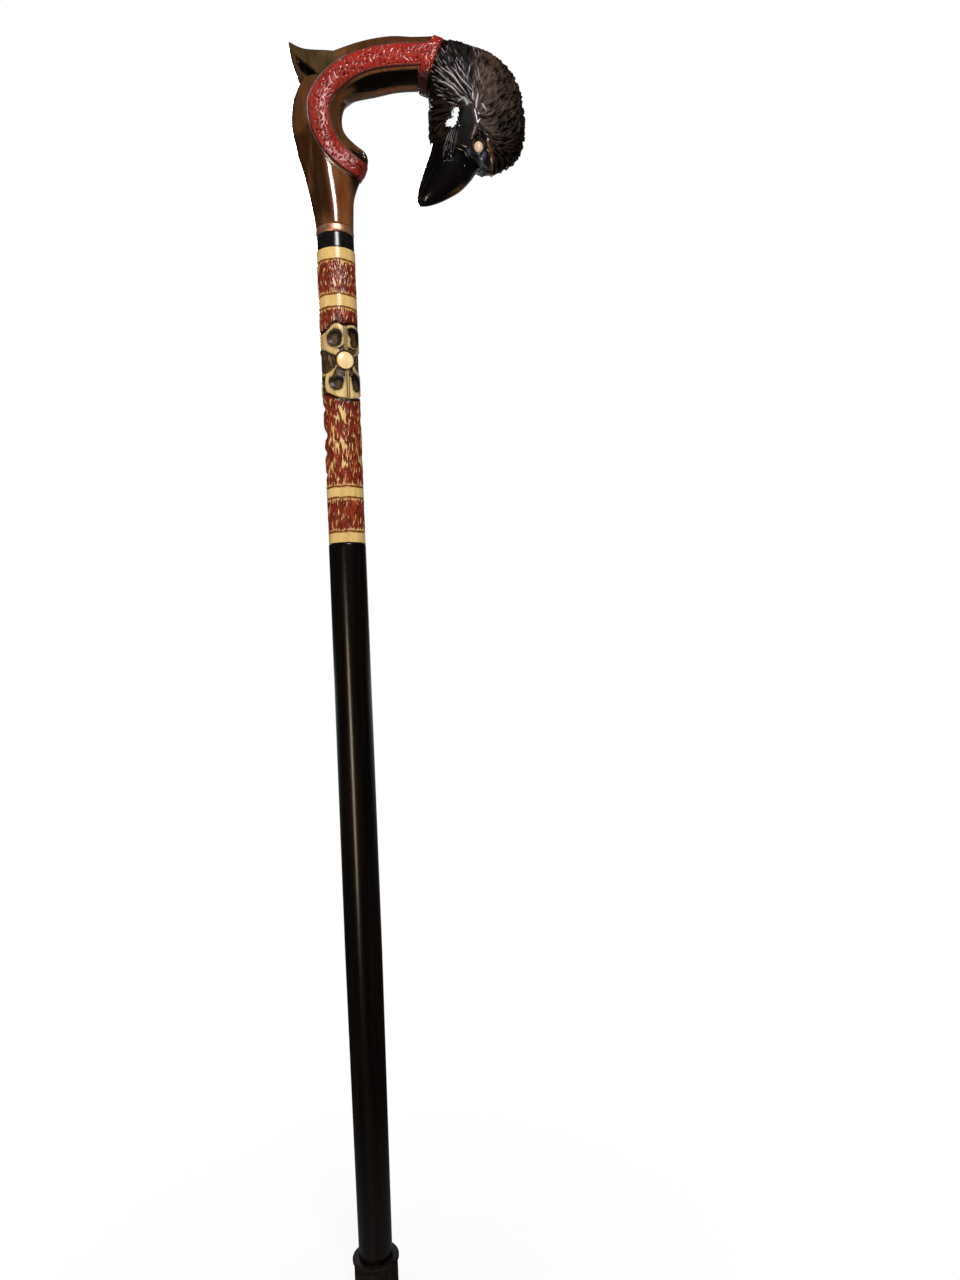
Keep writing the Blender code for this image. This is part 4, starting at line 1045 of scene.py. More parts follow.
# The row of the bird's rings at which the head ends and the beak begins
BIRD_SPLIT = BIRD_STEPS * (len(HEAD_ROWS) - 1)


def unrolled(local):
    """The side view with the rounded back of the head unrolled outward from the face's centre."""
    gap = local[:, [0, 2]] - FACE_CENTRE
    distance = np.linalg.norm(gap, axis=1)
    rolled = distance + 0.8 * np.clip(19.5 - np.abs(local[:, 1]), 0.0, None)
    return FACE_CENTRE + gap / np.maximum(distance, 0.01)[:, None] * rolled[:, None]


def turned_from_face(places):
    """The direction of each place from the face's centre, in degrees from +X."""
    gap = places - FACE_CENTRE
    return np.degrees(np.arctan2(gap[:, 1], gap[:, 0]))


def feather_heading(places):
    """The way the feathers lie at each place, in radians from +X."""
    known, heading = np.array(FLOW, float).T
    return np.radians(np.interp(turned_from_face(places), known, heading))


def strand_share(places):
    """1 on the side of the neck, where the feathers are long fine strands, and 0 on the crown."""
    angle = turned_from_face(places)
    return step_up(np.where(angle < -100, angle + 360, angle), 72.0, 98.0)


def feathers(rng, apart, length, half_width, depth):
    """Gouges of the plumage, spaced along and across, which are longer and finer on the side of the neck."""

    def grain(places):
        fine = strand_share(places)
        return feather_heading(places), apart[0] * (1.0 + 0.9 * fine), apart[1] * (1.0 - 0.3 * fine)

    gouges = []
    for place in scattered(rng, FACE_CENTRE - 82, FACE_CENTRE + 82, 14000, grain):
        fine = strand_share(place[None])[0]
        lean, curl = rng.normal(0.0, 0.2 - 0.1 * fine), rng.normal(0.0, 0.02)
        reach = rng.uniform(*length) * (1.0 + 0.7 * fine)
        path = follow(place, lambda p: feather_heading(p) + lean + curl * (p[:, 1] - place[1]), reach)
        width = rng.uniform(*half_width) * (1.0 - 0.3 * fine)
        gouges.append((path, width, rng.uniform(*depth)))
    return gouges


def bristles(rng):
    """Fine cuts down the root of the bill."""
    gouges = []
    for place in scattered(rng, (1.0, -71.0), (13.0, -50.0), 1500, BRISTLE_GRAIN):
        path = follow(place, lambda _: [BRISTLE_GRAIN[0] + rng.normal(0.0, 0.1)], rng.uniform(3.0, 6.0), 4)
        gouges.append((path, rng.uniform(0.4, 0.6), rng.uniform(0.2, 0.4)))
    return gouges


def sheen(rng):
    """Fine raised strands where the plumage shines."""

    def grain(places):
        return feather_heading(places), 5.0, 1.5

    found = []
    for place in scattered(rng, (-3.0, -62.0), (52.0, 5.0), 3000, grain):
        if place[0] < 26.0 and inside_distance(place[None], SHEEN)[0] < -1.0:
            continue
        lean = rng.normal(0.0, 0.1)
        path = follow(place, lambda p: feather_heading(p) + lean, rng.uniform(3.5, 8.0))
        found.append((path, rng.uniform(0.3, 0.5), rng.uniform(0.3, 0.95) ** 2))
    return found


def teeth(rng, places):
    """Depth of the notches between the feathers' tips along the head's outline."""
    turn = turned_from_face(places)
    knots, depths = [-190.0], [0.0]
    while knots[-1] < 190.0:
        knots += [knots[-1] + rng.uniform(4.0, 9.0)] * 2
        depths += [rng.uniform(1.8, 4.6), 0.0]
    return np.interp(turn, np.array(knots) + np.tile((0.6, 0.0), len(knots))[: len(knots)], depths)


def end_face(ring, hole, steps):
    """Rings that lead from a section's edge to the edge of the hole in its middle."""
    return np.array([ring + (hole - ring) * share for share in np.linspace(0.0, 1.0, steps + 2)[1:-1]])


def outward(rings):
    """The surface's own direction at each point of a body's rings."""
    around = np.roll(rings, -1, axis=1) - np.roll(rings, 1, axis=1)
    normals = np.cross(around, np.gradient(rings, axis=0))
    normals /= np.linalg.norm(normals, axis=2)[:, :, None]
    away = rings - rings.mean(axis=1)[:, None]
    return normals * np.sign((normals * away).sum(axis=2).mean())


def with_cheek(rings):
    """The rings with a flat facet on each cheek."""
    x, y, z = np.moveaxis(rings / MM, 2, 0)
    inside = inside_distance(np.stack([x, z], axis=2).reshape(-1, 2), CHEEK).reshape(x.shape)
    inside -= 0.6 + 0.3 * (np.sin(3.1 * x + 1.2 * z) + np.sin(1.4 * x - 2.3 * z))
    middle_x, middle_y, middle_z = CHEEK_CENTRE
    tilt_x, facing, tilt_z = CHEEK_FACING
    flat = -middle_y + (tilt_x * (x - middle_x) + tilt_z * (z - middle_z)) / facing
    share = step_up(inside, -2.4, 0.4) * step_up(np.abs(y), 4.0, 9.0)
    return np.stack([x, y + (np.sign(y) * flat - y) * share, z], axis=2) * MM


def carved_bird():
    """The head and the beak as one carved surface: its rings, and what the materials read at each point."""
    rings = with_cheek(sections(smooth_rows(HEAD_ROWS + BEAK_ROWS[1:], BIRD_STEPS), BIRD_POINTS))
    shape = rings.shape[:2]
    local = rings.reshape(-1, 3) / MM
    side = local[:, [0, 2]]
    places = unrolled(local)
    off_middle = np.abs(local[:, 1])
    on_side = step_up(off_middle, 3.0, 8.0)
    on_side = np.maximum(on_side, step_up(off_middle, 0.8, 2.5) * step_up(side[:, 1], -66.0, -72.0))
    strands = strand_share(places)
    row = np.repeat(np.arange(shape[0]), shape[1])
    beak = step_up(row, BIRD_SPLIT - 14, BIRD_SPLIT - 2)
    face = np.maximum(step_up(inside_distance(side, FACE), -1.2, 1.2) * on_side, beak)

    rng = np.random.default_rng(5)
    locks, _ = gouge_depth(places, feathers(rng, (6.8, 3.0), (6.0, 15.0), (1.3, 2.6), (0.4, 2.0)), 1.4)
    lines, _ = gouge_depth(places, feathers(rng, (5.6, 1.7), (5.0, 11.0), (0.6, 1.0), (0.15, 0.9)), 1.3)
    scratches, _ = gouge_depth(places, feathers(rng, (3.4, 1.1), (3.0, 6.0), (0.45, 0.6), (0.15, 0.35)))
    lines = (lines + scratches) * (1 - 0.6 * step_up(off_middle, 11.0, 6.0))
    calm = bump(oval(side, 33.5, -24.0, 4.0, 12.0), 1.0) * 0.6
    locks, lines = locks * (1 - calm), lines * (1 - calm)
    notches = teeth(rng, places) * step_up(off_middle, 11.0, 5.0)
    throat = step_up(side[:, 0], 7.0, -1.0) * step_up(side[:, 1], -2.0, -12.0)
    # Painted shadow at the head's corner by the collar's lower end, where the relief is also flattened and dulled
    shadowed_corner = step_up(oval(side, -5.8, -18.5, 4.2, 7.0), 1.3, 0.8)
    deep = 0.4 * step_up(side[:, 0], 30.0, 58.0) + 0.8 * step_up(side[:, 1], -20.0, -58.0)
    cut = (locks + lines + notches) * (1 - face)
    whiskers, _ = gouge_depth(side, bristles(rng), 1.3)
    whiskers *= step_up(inside_distance(side, BRISTLES), -0.5, 0.8) * on_side

    # Painted highlights on the raised strands where the plumage shines, and along the listed lines
    strands_up, _ = gouge_depth(side, sheen(rng))
    crest = 0.55 * bump(oval(side, 31.0, -34.0, 9.0, 22.0), 1.0)
    gleam = strands_up * np.maximum(strands, crest) * (1 - face)
    for width, strength, line in GLEAMS:
        distance, share = line_distance(side, line)
        taper = np.clip(4 * share * (1 - share), 0.0, 1.0) ** 0.5 + 0.15
        strand = np.clip(1.3 - distance / (0.6 * width * taper), 0.0, 1.0) * min(1.0, 1.25 * strength)
        gleam = np.maximum(gleam, strand)
    gleam *= on_side

    eye = oval(side, EYE_PLACE[0] / MM, EYE_PLACE[1] / MM, 3.5, 4.4)
    dip = step_up(inside_distance(side, ALMOND), -0.8, 2.2) * 1.6 + step_up(1.3 - eye, 0.0, 0.4) * 1.8
    marks = (BROW, BROW_HIGH, LID, PATCH, GAPE)
    brow, brow_high, lid, patch, gape = (line_distance(side, line)[0] for line in marks)
    ridges = bump(brow, 1.3) * (0.75 - 0.8 * lines) + bump(brow_high, 1.2) * 0.6
    ridges += bump(lid, 1.5) * 0.8 + bump(patch, 1.9) * 0.6
    lips = (bump(gape - 1.1, 0.6) * 0.4 - bump(gape, 0.6) * 0.6) * face
    for x, z, width, rise in BEAK_MARKS:
        lips += bump(oval(side, x, z, width, width), 1.0) * rise
    height = (ridges - dip + lips - whiskers) * on_side - cut * (1 - 0.6 * gleam) + gleam * 0.5
    height *= step_up(row, 0.0, 3.0) * (1 - 0.8 * shadowed_corner)
    rings = rings + outward(rings) * height.reshape(shape)[:, :, None] * MM

    around = np.tile(np.arange(shape[1]) / shape[1], shape[0])
    back = np.minimum(around, 1 - around) * 2
    worn = bump(side[:, 1] + 86.5, 3.0) * step_up(0.16 - back, 0.0, 0.1)
    worn += bump(side[:, 1] + 86.0, 5.0) * step_up(back, 0.86, 1.0) * 0.5
    # Painted shade: near black in the plumage's gouges and bristle cuts, along the gape and at the corner by the
    # collar; darker also at the throat and towards the crown's right and lower end
    dark = locks * (0.4 + 0.4 * strands) + lines * (2.3 + 0.2 * strands) + deep * (1 - strands) * 0.6
    dark = (dark + throat * 0.5 + shadowed_corner) * (1 - face)
    notes = {
        "cut": dark + whiskers * 1.5 + bump(gape, 0.6) * on_side * face,
        "dull": shadowed_corner,
        "edge": step_up(side[:, 0], 5.0, -2.0) * step_up(side[:, 1], -24.0, -36.0) * 0.7,
        "strands": strands * (1 - face),
        "gleam": gleam,
        "warm": bump(oval(side, 25.5, -19.0, 5.0, 11.0), 1.0),
        "face": face,
        "brow": bump(brow, 1.3) * (0.65 - 1.2 * lines) * on_side,
        # Painted sheen on the ridge above the eye and painted highlight along the brow's top
        "patch": (bump(patch, 1.7) + bump(brow_high, 1.0) * 0.8) * on_side,
        # Painted reflection on the glossy lower lid
        "lid": bump(lid, 1.3) * 0.9 * on_side,
        "ring": step_up(1.5 - eye, 0.0, 0.25) * on_side,
        "worn": worn * beak,
    }
    return rings + HEAD_FRAME, {name: values.reshape(shape) for name, values in notes.items()}


def make_bird():
    rings, notes = carved_bird()
    bore = bore_rows(np.zeros(2), JOINT_ALONG * (DOWEL_INTO_HEAD + SEAT_GAP))
    bore = sections(bore, BIRD_POINTS) + HEAD_FRAME
    collar_side = np.vstack([bore[::-1], end_face(rings[0], bore[0], 2)[::-1]])

    end = np.array(HEAD_ROWS[-1])
    inner, outer = end[0:2], end[2:4]
    along = (outer - inner) / np.linalg.norm(outer - inner)
    away = np.array((along[1], -along[0]))

    def peg(inset, depths, half_thickness):
        """Sections of the beak's peg, or of its socket, at these depths in the head."""
        low, high = inner + along * inset, outer - along * inset
        rows = [(*(low - away * depth), *(high - away * depth), half_thickness, 2.4) for depth in depths]
        return sections(rows, BIRD_POINTS) + HEAD_FRAME

    socket = peg(0.0072, (0.0, 0.0093), 0.0063)
    tenon = peg(0.0075, (0.0090, 0.0), 0.0060)
    tip = (rings[-1:] + rings[-1].mean(axis=0)) / 2
    joint = rings[BIRD_SPLIT]
    beak_side = np.vstack([end_face(joint, socket[0], 3), socket])
    parts = (
        (
            "feathered_head", collar_side, slice(0, BIRD_SPLIT + 1), beak_side,
            feather_finish(), "feather_stain", "bird_head",
        ),
        (
            "lacquered_beak", np.vstack([tenon, end_face(tenon[-1], joint, 3)]), slice(BIRD_SPLIT, None), tip,
            beak_finish(), "beak_lacquer", "beak",
        ),
    )
    for name, before, rows, after, material, slot, node in parts:
        mesh = mesh_of(name, *skin(np.vstack([before, rings[rows], after])))
        for key, values in notes.items():
            shown = values[rows].reshape(-1)
            first = len(before) * BIRD_POINTS
            note(mesh, key, shown, slice(first, first + len(shown)))
        piece(name, mesh, material, slot, node, sharp=math.radians(80))


def make_eyes():
    material = bead_finish()
    for side, sign in (("front", -1), ("back", 1)):
        shape = bmesh.new()
        bmesh.ops.create_icosphere(shape, subdivisions=5, radius=1.0)
        mesh = bpy.data.meshes.new(f"eye_{side}")
        shape.to_mesh(mesh)
        shape.free()
        verts = points_of(mesh)
        verts = np.sign(verts) * np.abs(verts) ** 0.96
        verts *= np.array(EYE_SIZE)
        verts += HEAD_FRAME + np.array((EYE_PLACE[0], sign * EYE_DEPTH, EYE_PLACE[1]))
        move_points(mesh, verts)
        piece(f"eye_{side}", mesh, material, "cream_bead", f"eye_bead_{side}")


# Carved shaft

FLOWER_ANGLE = math.radians(-66)
FLOWER_RADIUS = 13.6
ZONES = (0.0074, 0.0234, 0.0078, 0.0611, 0.0515, 0.0112, 0.0091, 0.0237, 0.0084)

# The flower unrolled: millimetres round the shaft and up it, from the middle of its button
FLOWER_TOP = (
    (-21.4, 20.2), (-18.0, 20.4), (-14.5, 21.1), (-11.5, 22.4), (-9.5, 24.1), (-7.5, 25.8), (-5.0, 26.3),
    (-2.5, 25.3), (-0.5, 24.4), (2.5, 24.9), (5.5, 25.8), (8.5, 26.4), (12.0, 25.6), (16.0, 24.0), (21.4, 20.2),
)
FLOWER_FOOT = (
    (-21.4, -20.8), (-17.5, -21.3), (-15.5, -21.7), (-12.0, -23.1), (-8.5, -24.9), (-5.0, -26.1), (-1.0, -26.7),
    (2.0, -26.9), (4.5, -26.6), (8.0, -25.9), (12.0, -24.9), (17.0, -22.9), (21.4, -20.8),
)
HOLLOWS = (
    (
        (-9.5, 20.0), (-6.5, 21.3), (-3.2, 20.3), (-1.8, 17.5), (-1.8, 13.0), (-3.2, 10.2), (-6.0, 9.0),
        (-9.5, 9.3), (-12.0, 11.3), (-13.0, 14.2), (-12.2, 17.3),
    ),
    (
        (2.9, 21.5), (5.5, 22.6), (9.5, 22.8), (13.0, 21.6), (14.3, 18.0), (14.0, 13.5), (11.0, 10.2), (7.5, 9.0),
        (4.6, 9.6), (4.0, 12.5), (4.6, 15.5), (3.2, 18.0),
    ),
    (
        (-11.5, -12.2), (-7.0, -11.2), (-2.2, -11.4), (-1.7, -15.5), (-2.8, -19.5), (-5.5, -21.0), (-8.8, -20.6),
        (-11.6, -18.3), (-12.6, -15.0),
    ),
    (
        (4.6, -10.8), (8.5, -9.6), (12.5, -10.5), (14.5, -14.0), (14.0, -18.0), (11.0, -20.8), (7.5, -21.3),
        (5.0, -19.5), (4.4, -15.5),
    ),
)
LEAVES = (
    (
        (-21.6, 9.6), (-19.5, 9.4), (-14.5, 7.6), (-9.5, 4.8), (-6.0, 3.2), (-6.0, -2.6), (-7.6, -5.2),
        (-11.0, -7.4), (-15.0, -8.6), (-21.6, -6.8),
    ),
    (
        (6.4, 2.6), (9.0, 5.2), (13.0, 7.7), (17.0, 9.0), (21.6, 9.6), (21.6, -6.8), (16.5, -8.2), (12.0, -7.2),
        (8.5, -5.2), (6.4, -2.6),
    ),
    ((-21.6, -9.2), (-15.4, -9.6), (-16.6, -14.0), (-16.4, -18.0), (-14.6, -21.6), (-21.6, -20.6)),
)
WEDGES = (
    ((-9.0, 9.2), (-4.0, 8.6), (-0.6, 11.0), (-0.6, 6.0), (-3.0, 5.6), (-5.0, 7.6)),
    ((2.0, 5.8), (2.4, 9.4), (4.0, 9.2), (7.5, 8.8), (11.8, 9.9), (9.5, 6.5), (5.5, 3.0)),
    ((-6.2, -4.2), (-3.5, -5.4), (-0.4, -6.0), (-0.6, -11.4), (-9.4, -11.6), (-8.4, -8.0)),
    ((2.8, -5.4), (5.0, -4.4), (7.0, -7.5), (9.5, -9.2), (7.0, -10.2), (4.2, -10.8), (2.8, -11.5)),
)
UPPER_GROOVE = ((0.8, 5.0), (1.0, 14.0), (0.9, 24.6))
LOWER_GROOVES = (((0.9, -5.0), (0.8, -16.0), (0.9, -26.6)), ((2.7, -5.0), (2.4, -16.0), (2.5, -26.6)))

# Where the stained wood between the bands has few cuts: round the shaft, height, half width and half height
BARE_PATCHES = (
    (-4.0, 606.0, 8.0, 7.0), (-12.0, 613.0, 3.0, 9.0), (-2.5, 594.5, 3.4, 3.4), (-4.0, 627.0, 3.2, 5.0),
    (-6.0, 724.0, 2.6, 4.5), (9.0, 726.0, 2.0, 5.0), (12.0, 596.0, 3.0, 4.0), (17.0, 618.0, 4.0, 6.0),
    (-17.0, 592.0, 3.0, 4.0), (15.0, 560.0, 3.0, 4.0),
)
# Deeper bites between the flowers: round the shaft, height, half width, half height and depth
BITES = (
    (-25.0, 617.0, 8.0, 4.6, 2.6), (-25.0, 604.5, 7.0, 2.4, 1.8), (-25.0, 635.5, 7.5, 2.8, 1.8),
    (-25.0, 589.0, 7.0, 2.2, 1.2), (17.8, 626.0, 3.5, 3.0, 0.7), (18.0, 601.0, 3.5, 3.0, 0.6),
)

# Crown of a button: share of its radius and drop below the middle
BUTTON_CROWN = ((0.0, 0.0), (0.55, 0.0002), (0.88, 0.0006), (1.0, 0.0012))
BUTTON_DROP = 0.0012
BUTTON_RADIUS = 0.0060
BUTTON_THICKNESS = 0.0030
BUTTON_PROUD = 0.0014


def carved_radius(height):
    share = (height - CARVED_BOTTOM) / (CARVED_TOP - CARVED_BOTTOM)
    return CARVED_BOTTOM_RADIUS + (CARVED_TOP_RADIUS - CARVED_BOTTOM_RADIUS) * share


def deepest_of(places, outlines):
    """How far inside the outlines each place is, below zero outside them all."""
    return np.max([inside_distance(places, outline) for outline in outlines], axis=0)


def chips(rng, low, high, perimeter):
    """Flame-shaped gouges of a stained zone, with fewer in its bare patches and pointed ends at its edges."""
    gouges = []
    half_turn = perimeter / 2
    for place in scattered(rng, (0.0, low + 0.9), (perimeter, high - 0.9), 14000, CHIP_GRAIN):
        turn = (place[0] + half_turn / 2) % half_turn - half_turn / 2
        bare = max(bump(oval(np.array([(turn, place[1])]), *patch)[0], 0.8) for patch in BARE_PATCHES)
        if rng.uniform() < bare * 0.9 + 0.02:
            continue
        top = min(place[1] + rng.uniform(2.6, 5.2), high - rng.uniform(-0.6, 1.4))
        foot = max(place[1] - rng.uniform(2.6, 5.2), low + rng.uniform(-0.6, 1.4))
        if top - foot < 2.0:
            continue
        lean, bend = rng.normal(0.0, 0.2), rng.normal(0.0, 0.15)
        path = np.array([(place[0] - lean, foot), (place[0] + bend, (foot + top) / 2), (place[0] + lean, top)])
        gouges.append((path, rng.uniform(0.85, 1.25), rng.uniform(0.3, 0.6), rng.uniform() * 0.8))
    return gouges


def jagged(rng, around, perimeter, reach):
    """The depth of a saw-toothed edge round the shaft."""
    knots, depths = [0.0], [0.0]
    while knots[-1] < perimeter:
        start, width = knots[-1] + rng.uniform(0.3, 1.6), rng.uniform(0.7, 1.5)
        knots += [start, start + width / 2, start + width]
        depths += [0.0, rng.uniform(*reach), 0.0]
    return np.interp(around, knots, depths)


def slivers(rng, low, high, perimeter):
    """Narrow upright ridges left bare in the stained wood."""
    found = []
    for place in scattered(rng, (0.0, low), (perimeter, high), 3000, SLIVER_GRAIN):
        half, lean = rng.uniform(1.2, 3.2), rng.normal(0.0, 0.3)
        path = np.array([place - (lean, half), place, place + (lean, half)])
        found.append((path, rng.uniform(0.25, 0.5), 1.0))
    return found


def flower_strokes(rng):
    """Fine cuts in the flower: streaks down its hollows and hatching on its leaves."""
    strokes = []

    def grain(places):
        upright = np.abs(places[:, 1] - 1.0) > 9.0
        return np.where(upright, math.pi / 2, 0.0), 2.6, 0.75

    for place in scattered(rng, (-21.4, -22.0), (21.4, 22.0), 6000, grain):
        if abs(place[1] - 1.0) > 9.0:
            angle = math.pi / 2 + rng.normal(0.0, 0.12)
        else:
            angle = math.atan2(place[1], place[0]) * 0.6 + rng.normal(0.0, 0.15)
        half = np.array((math.cos(angle), math.sin(angle))) * rng.uniform(1.2, 2.6)
        path = np.array([place - half, place, place + half])
        strokes.append((path, rng.uniform(0.3, 0.45), rng.uniform(0.14, 0.26)))
    return strokes


def make_carved():
    points = 360
    heights = np.linspace(CARVED_BOTTOM, CARVED_TOP, 681)
    edges = (CARVED_BOTTOM + np.concatenate([[0.0], np.cumsum(ZONES)])) / MM
    radius = carved_radius(heights)
    outside = np.stack([radius, heights], axis=1).tolist()
    lower = CARVED_BOTTOM + STUD_LENGTH + SEAT_GAP
    upper = CARVED_TOP - INSERT_BORE_DEPTH
    low_wall = [(STUD_BORE, lower), (STUD_BORE, CARVED_BOTTOM), (radius[0] - 0.0008, CARVED_BOTTOM)]
    high_wall = [(radius[-1] - 0.0002, CARVED_TOP), (INSERT_BORE, CARVED_TOP), (INSERT_BORE, upper)]
    inside_low, inside_high = filled(low_wall, 0.004), filled(high_wall, 0.004)
    profile = inside_low + outside + inside_high
    mesh = turned("carved_shaft", profile, points)
    verts = points_of(mesh)
    first = len(inside_low) * points
    shown = slice(first, first + len(outside) * points)
    angle = np.arctan2(verts[shown, 1], verts[shown, 0])
    z = verts[shown, 2] / MM
    perimeter = 2 * math.pi * FLOWER_RADIUS
    around = np.mod(angle - FLOWER_ANGLE, 2 * math.pi) * FLOWER_RADIUS
    half_turn = perimeter / 2
    turn = np.mod(around + half_turn / 2, half_turn) - half_turn / 2
    flat = np.stack([turn, z - FLOWER_CENTRE / MM], axis=1)

    top = np.interp(turn, *np.array(FLOWER_TOP).T)
    foot = np.interp(turn, *np.array(FLOWER_FOOT).T)
    in_flower = np.minimum(top - flat[:, 1], flat[:, 1] - foot)
    flower = step_up(in_flower, 0.3, 0.9)
    wave = 0.14 * np.sin(angle * 7 + z) + 0.1 * np.sin(angle * 17 + 2 * z)
    burnt = np.min([np.abs(z + wave - edge) for edge in edges[[1, 2, 3, 6, 7, 8]]], axis=0)

    rng = np.random.default_rng(3)
    found = []
    zones = ((edges[1], edges[2]), (edges[3], edges[4] + 27), (edges[5] - 27, edges[6]), (edges[7], edges[8]))
    for low, high in zones:
        found += chips(rng, low, high, perimeter)
    gouges, tones = [], [0.5]
    for path, half_width, depth, tone in found:
        for shift in (-perimeter, 0.0, perimeter):
            gouges.append((path + np.array((shift, 0.0)), half_width, depth))
            tones.append(tone)
    wall = np.stack([around, z], axis=1)
    cut, which = gouge_depth(wall, gouges)
    tone = np.array(tones)[which + 1]
    stained = step_up(-in_flower, 0.3, 0.7)
    left, _ = gouge_depth(wall, slivers(rng, edges[0], edges[-1], perimeter))
    cut *= stained * (1 - step_up(left, 0.0, 0.4))
    for edge, way in ((1, 1), (2, -1), (3, 1), (6, -1), (7, 1), (8, -1)):
        away = (z - edges[edge]) * way
        beyond = step_up(away - jagged(rng, around, perimeter, (1.0, 4.0)), 0.0, 0.3)
        cut *= np.where((away > 0) & (away < 8), beyond, 1)
    bite = np.zeros(len(z))
    for u, height, wide, tall, deep in BITES:
        away = np.mod(around - u + half_turn, perimeter) - half_turn
        distance = oval(np.stack([away, z], axis=1), 0.0, height, wide, tall)
        bite = np.maximum(bite, bump(distance, 0.8) * deep)
    bite *= stained

    hollow = deepest_of(flat, HOLLOWS)
    leaf = deepest_of(flat, LEAVES)
    wedge = deepest_of(flat, WEDGES)
    strokes, _ = gouge_depth(flat, flower_strokes(rng))
    pale, _ = gouge_depth(flat, [(path, width * 0.8, 1.0) for path, width, _ in flower_strokes(rng)[::2]])
    deepest = np.max([hollow, leaf, wedge], axis=0)
    sunk = step_up(deepest, -0.1, 0.8)
    upper_groove, _ = line_distance(flat, UPPER_GROOVE)
    grooves = [line_distance(flat, line)[0] for line in LOWER_GROOVES]
    middle = step_up(1.15 - upper_groove, 0.0, 0.4)
    lines = np.maximum(bump(np.minimum(*grooves), 0.5), bump(upper_groove - 1.1, 0.35) * 0.8)
    button = np.hypot(turn, flat[:, 1])

    height = 0.35 - step_up(hollow, -0.2, 3.6) * 1.9 - step_up(leaf, -0.2, 1.6) * 1.5
    height -= step_up(wedge, -0.2, 1.2) * 0.7
    height = (height - strokes * sunk - lines * 0.6 - middle * 0.4) * flower
    height -= cut + bite + bump(burnt, 0.5) * 0.15 + bump(in_flower, 0.9) * 0.9
    seat = step_up(6.7 - button, 0.0, 0.3)
    height = height * (1 - seat) - seat * 1.5
    away = np.zeros(len(verts))
    away[shown] = height
    direction = verts * (1.0, 1.0, 0.0)
    direction /= np.maximum(np.linalg.norm(direction, axis=1), 1e-6)[:, None]
    move_points(mesh, verts + direction * away[:, None] * MM)

    # Painted shade for the flower's hollows and leaves: dark rims, a shadow under each hollow's top edge and dark
    # cuts
    rim = bump(deepest - 0.5, 0.9)
    # Darker stain beside the flower, and painted shade in the deeper chips
    beside = bump(in_flower + 1.0, 4.0) * 0.5 + step_up(cut, 0.2, 0.45) * 0.3
    above = np.where(flat[:, 1] > 0, flat[:, 1], flat[:, 1] + 31.0)
    top_rim_shadow = bump(hollow - 0.8, 1.9) * step_up(above, 14.0, 19.0)
    streaks = step_up(strokes, 0.03, 0.12) * sunk * (0.6 + 0.3 * step_up(leaf, 0.0, 0.8))
    rim_line = step_up(1.4 - np.abs(in_flower + 0.4), 0.0, 0.6)
    button_line = step_up(7.6 - button, 0.0, 0.5) * 0.9
    flecks = step_up(pale, 0.1, 0.5) * np.maximum(step_up(leaf, 0.4, 1.4), step_up(wedge, 0.2, 0.9) * 0.6)
    notes = {
        "stain": np.maximum(step_up(cut, 0.03, 0.09), step_up(bite, 0.15, 0.5)),
        # Random tone per chip, with painted shade in the bites
        "tone": np.maximum(tone + beside, step_up(bite, 0.3, 0.9)),
        "flower": flower,
        "hollow": sunk * flower,
        "dark": (rim * 0.75 + top_rim_shadow + streaks + step_up(leaf, 0.3, 2.0) * 0.3) * flower,
        "line": step_up(1.05 - burnt, 0.0, 0.5),
        "outline": np.maximum(rim_line, np.maximum(lines * 0.85, button_line) * flower),
        "middle": np.maximum(middle, flecks) * flower,
    }
    for name, values in notes.items():
        note(mesh, name, values, shown)
    piece("carved_shaft", mesh, carved_finish(), "bare_wood", "carved_section", sharp=math.radians(80))


def make_buttons():
    material = cream_finish()
    share = np.linspace(0.0, 1.0, 28)[1:]
    drop = np.interp(share, *np.array(BUTTON_CROWN).T) * 0.4 + 0.6 * BUTTON_DROP * share**2.4
    seat = (CARVED_BOTTOM_RADIUS + CARVED_TOP_RADIUS) / 2 + BUTTON_PROUD - BUTTON_THICKNESS
    profile = [(BUTTON_RADIUS * s, BUTTON_THICKNESS - d) for s, d in zip(share, drop)]
    side = [(BUTTON_RADIUS, BUTTON_THICKNESS - BUTTON_DROP), (BUTTON_RADIUS, 0.0), (BUTTON_RADIUS * 0.2, 0.0)]
    profile += filled(side, 0.0006)[1:]
    for side, facing in (("front", FLOWER_ANGLE), ("back", FLOWER_ANGLE + math.pi)):
        mesh = turned(f"flower_knob_{side}", profile, 96)
        verts = points_of(mesh)
        distance = np.hypot(verts[:, 0], verts[:, 1])
        note(mesh, "edge", step_up(distance, BUTTON_RADIUS * 0.93, BUTTON_RADIUS) * 0.9)
        place = Matrix.Translation((0.0, 0.0, FLOWER_CENTRE)) @ Matrix.Rotation(facing, 4, "Z")
        mesh.transform(place @ Matrix.Translation((seat, 0.0, 0.0)) @ Matrix.Rotation(math.pi / 2, 4, "Y"))
        piece(f"flower_knob_{side}", mesh, material, "cream_wood", f"flower_button_{side}")


# Turned pieces


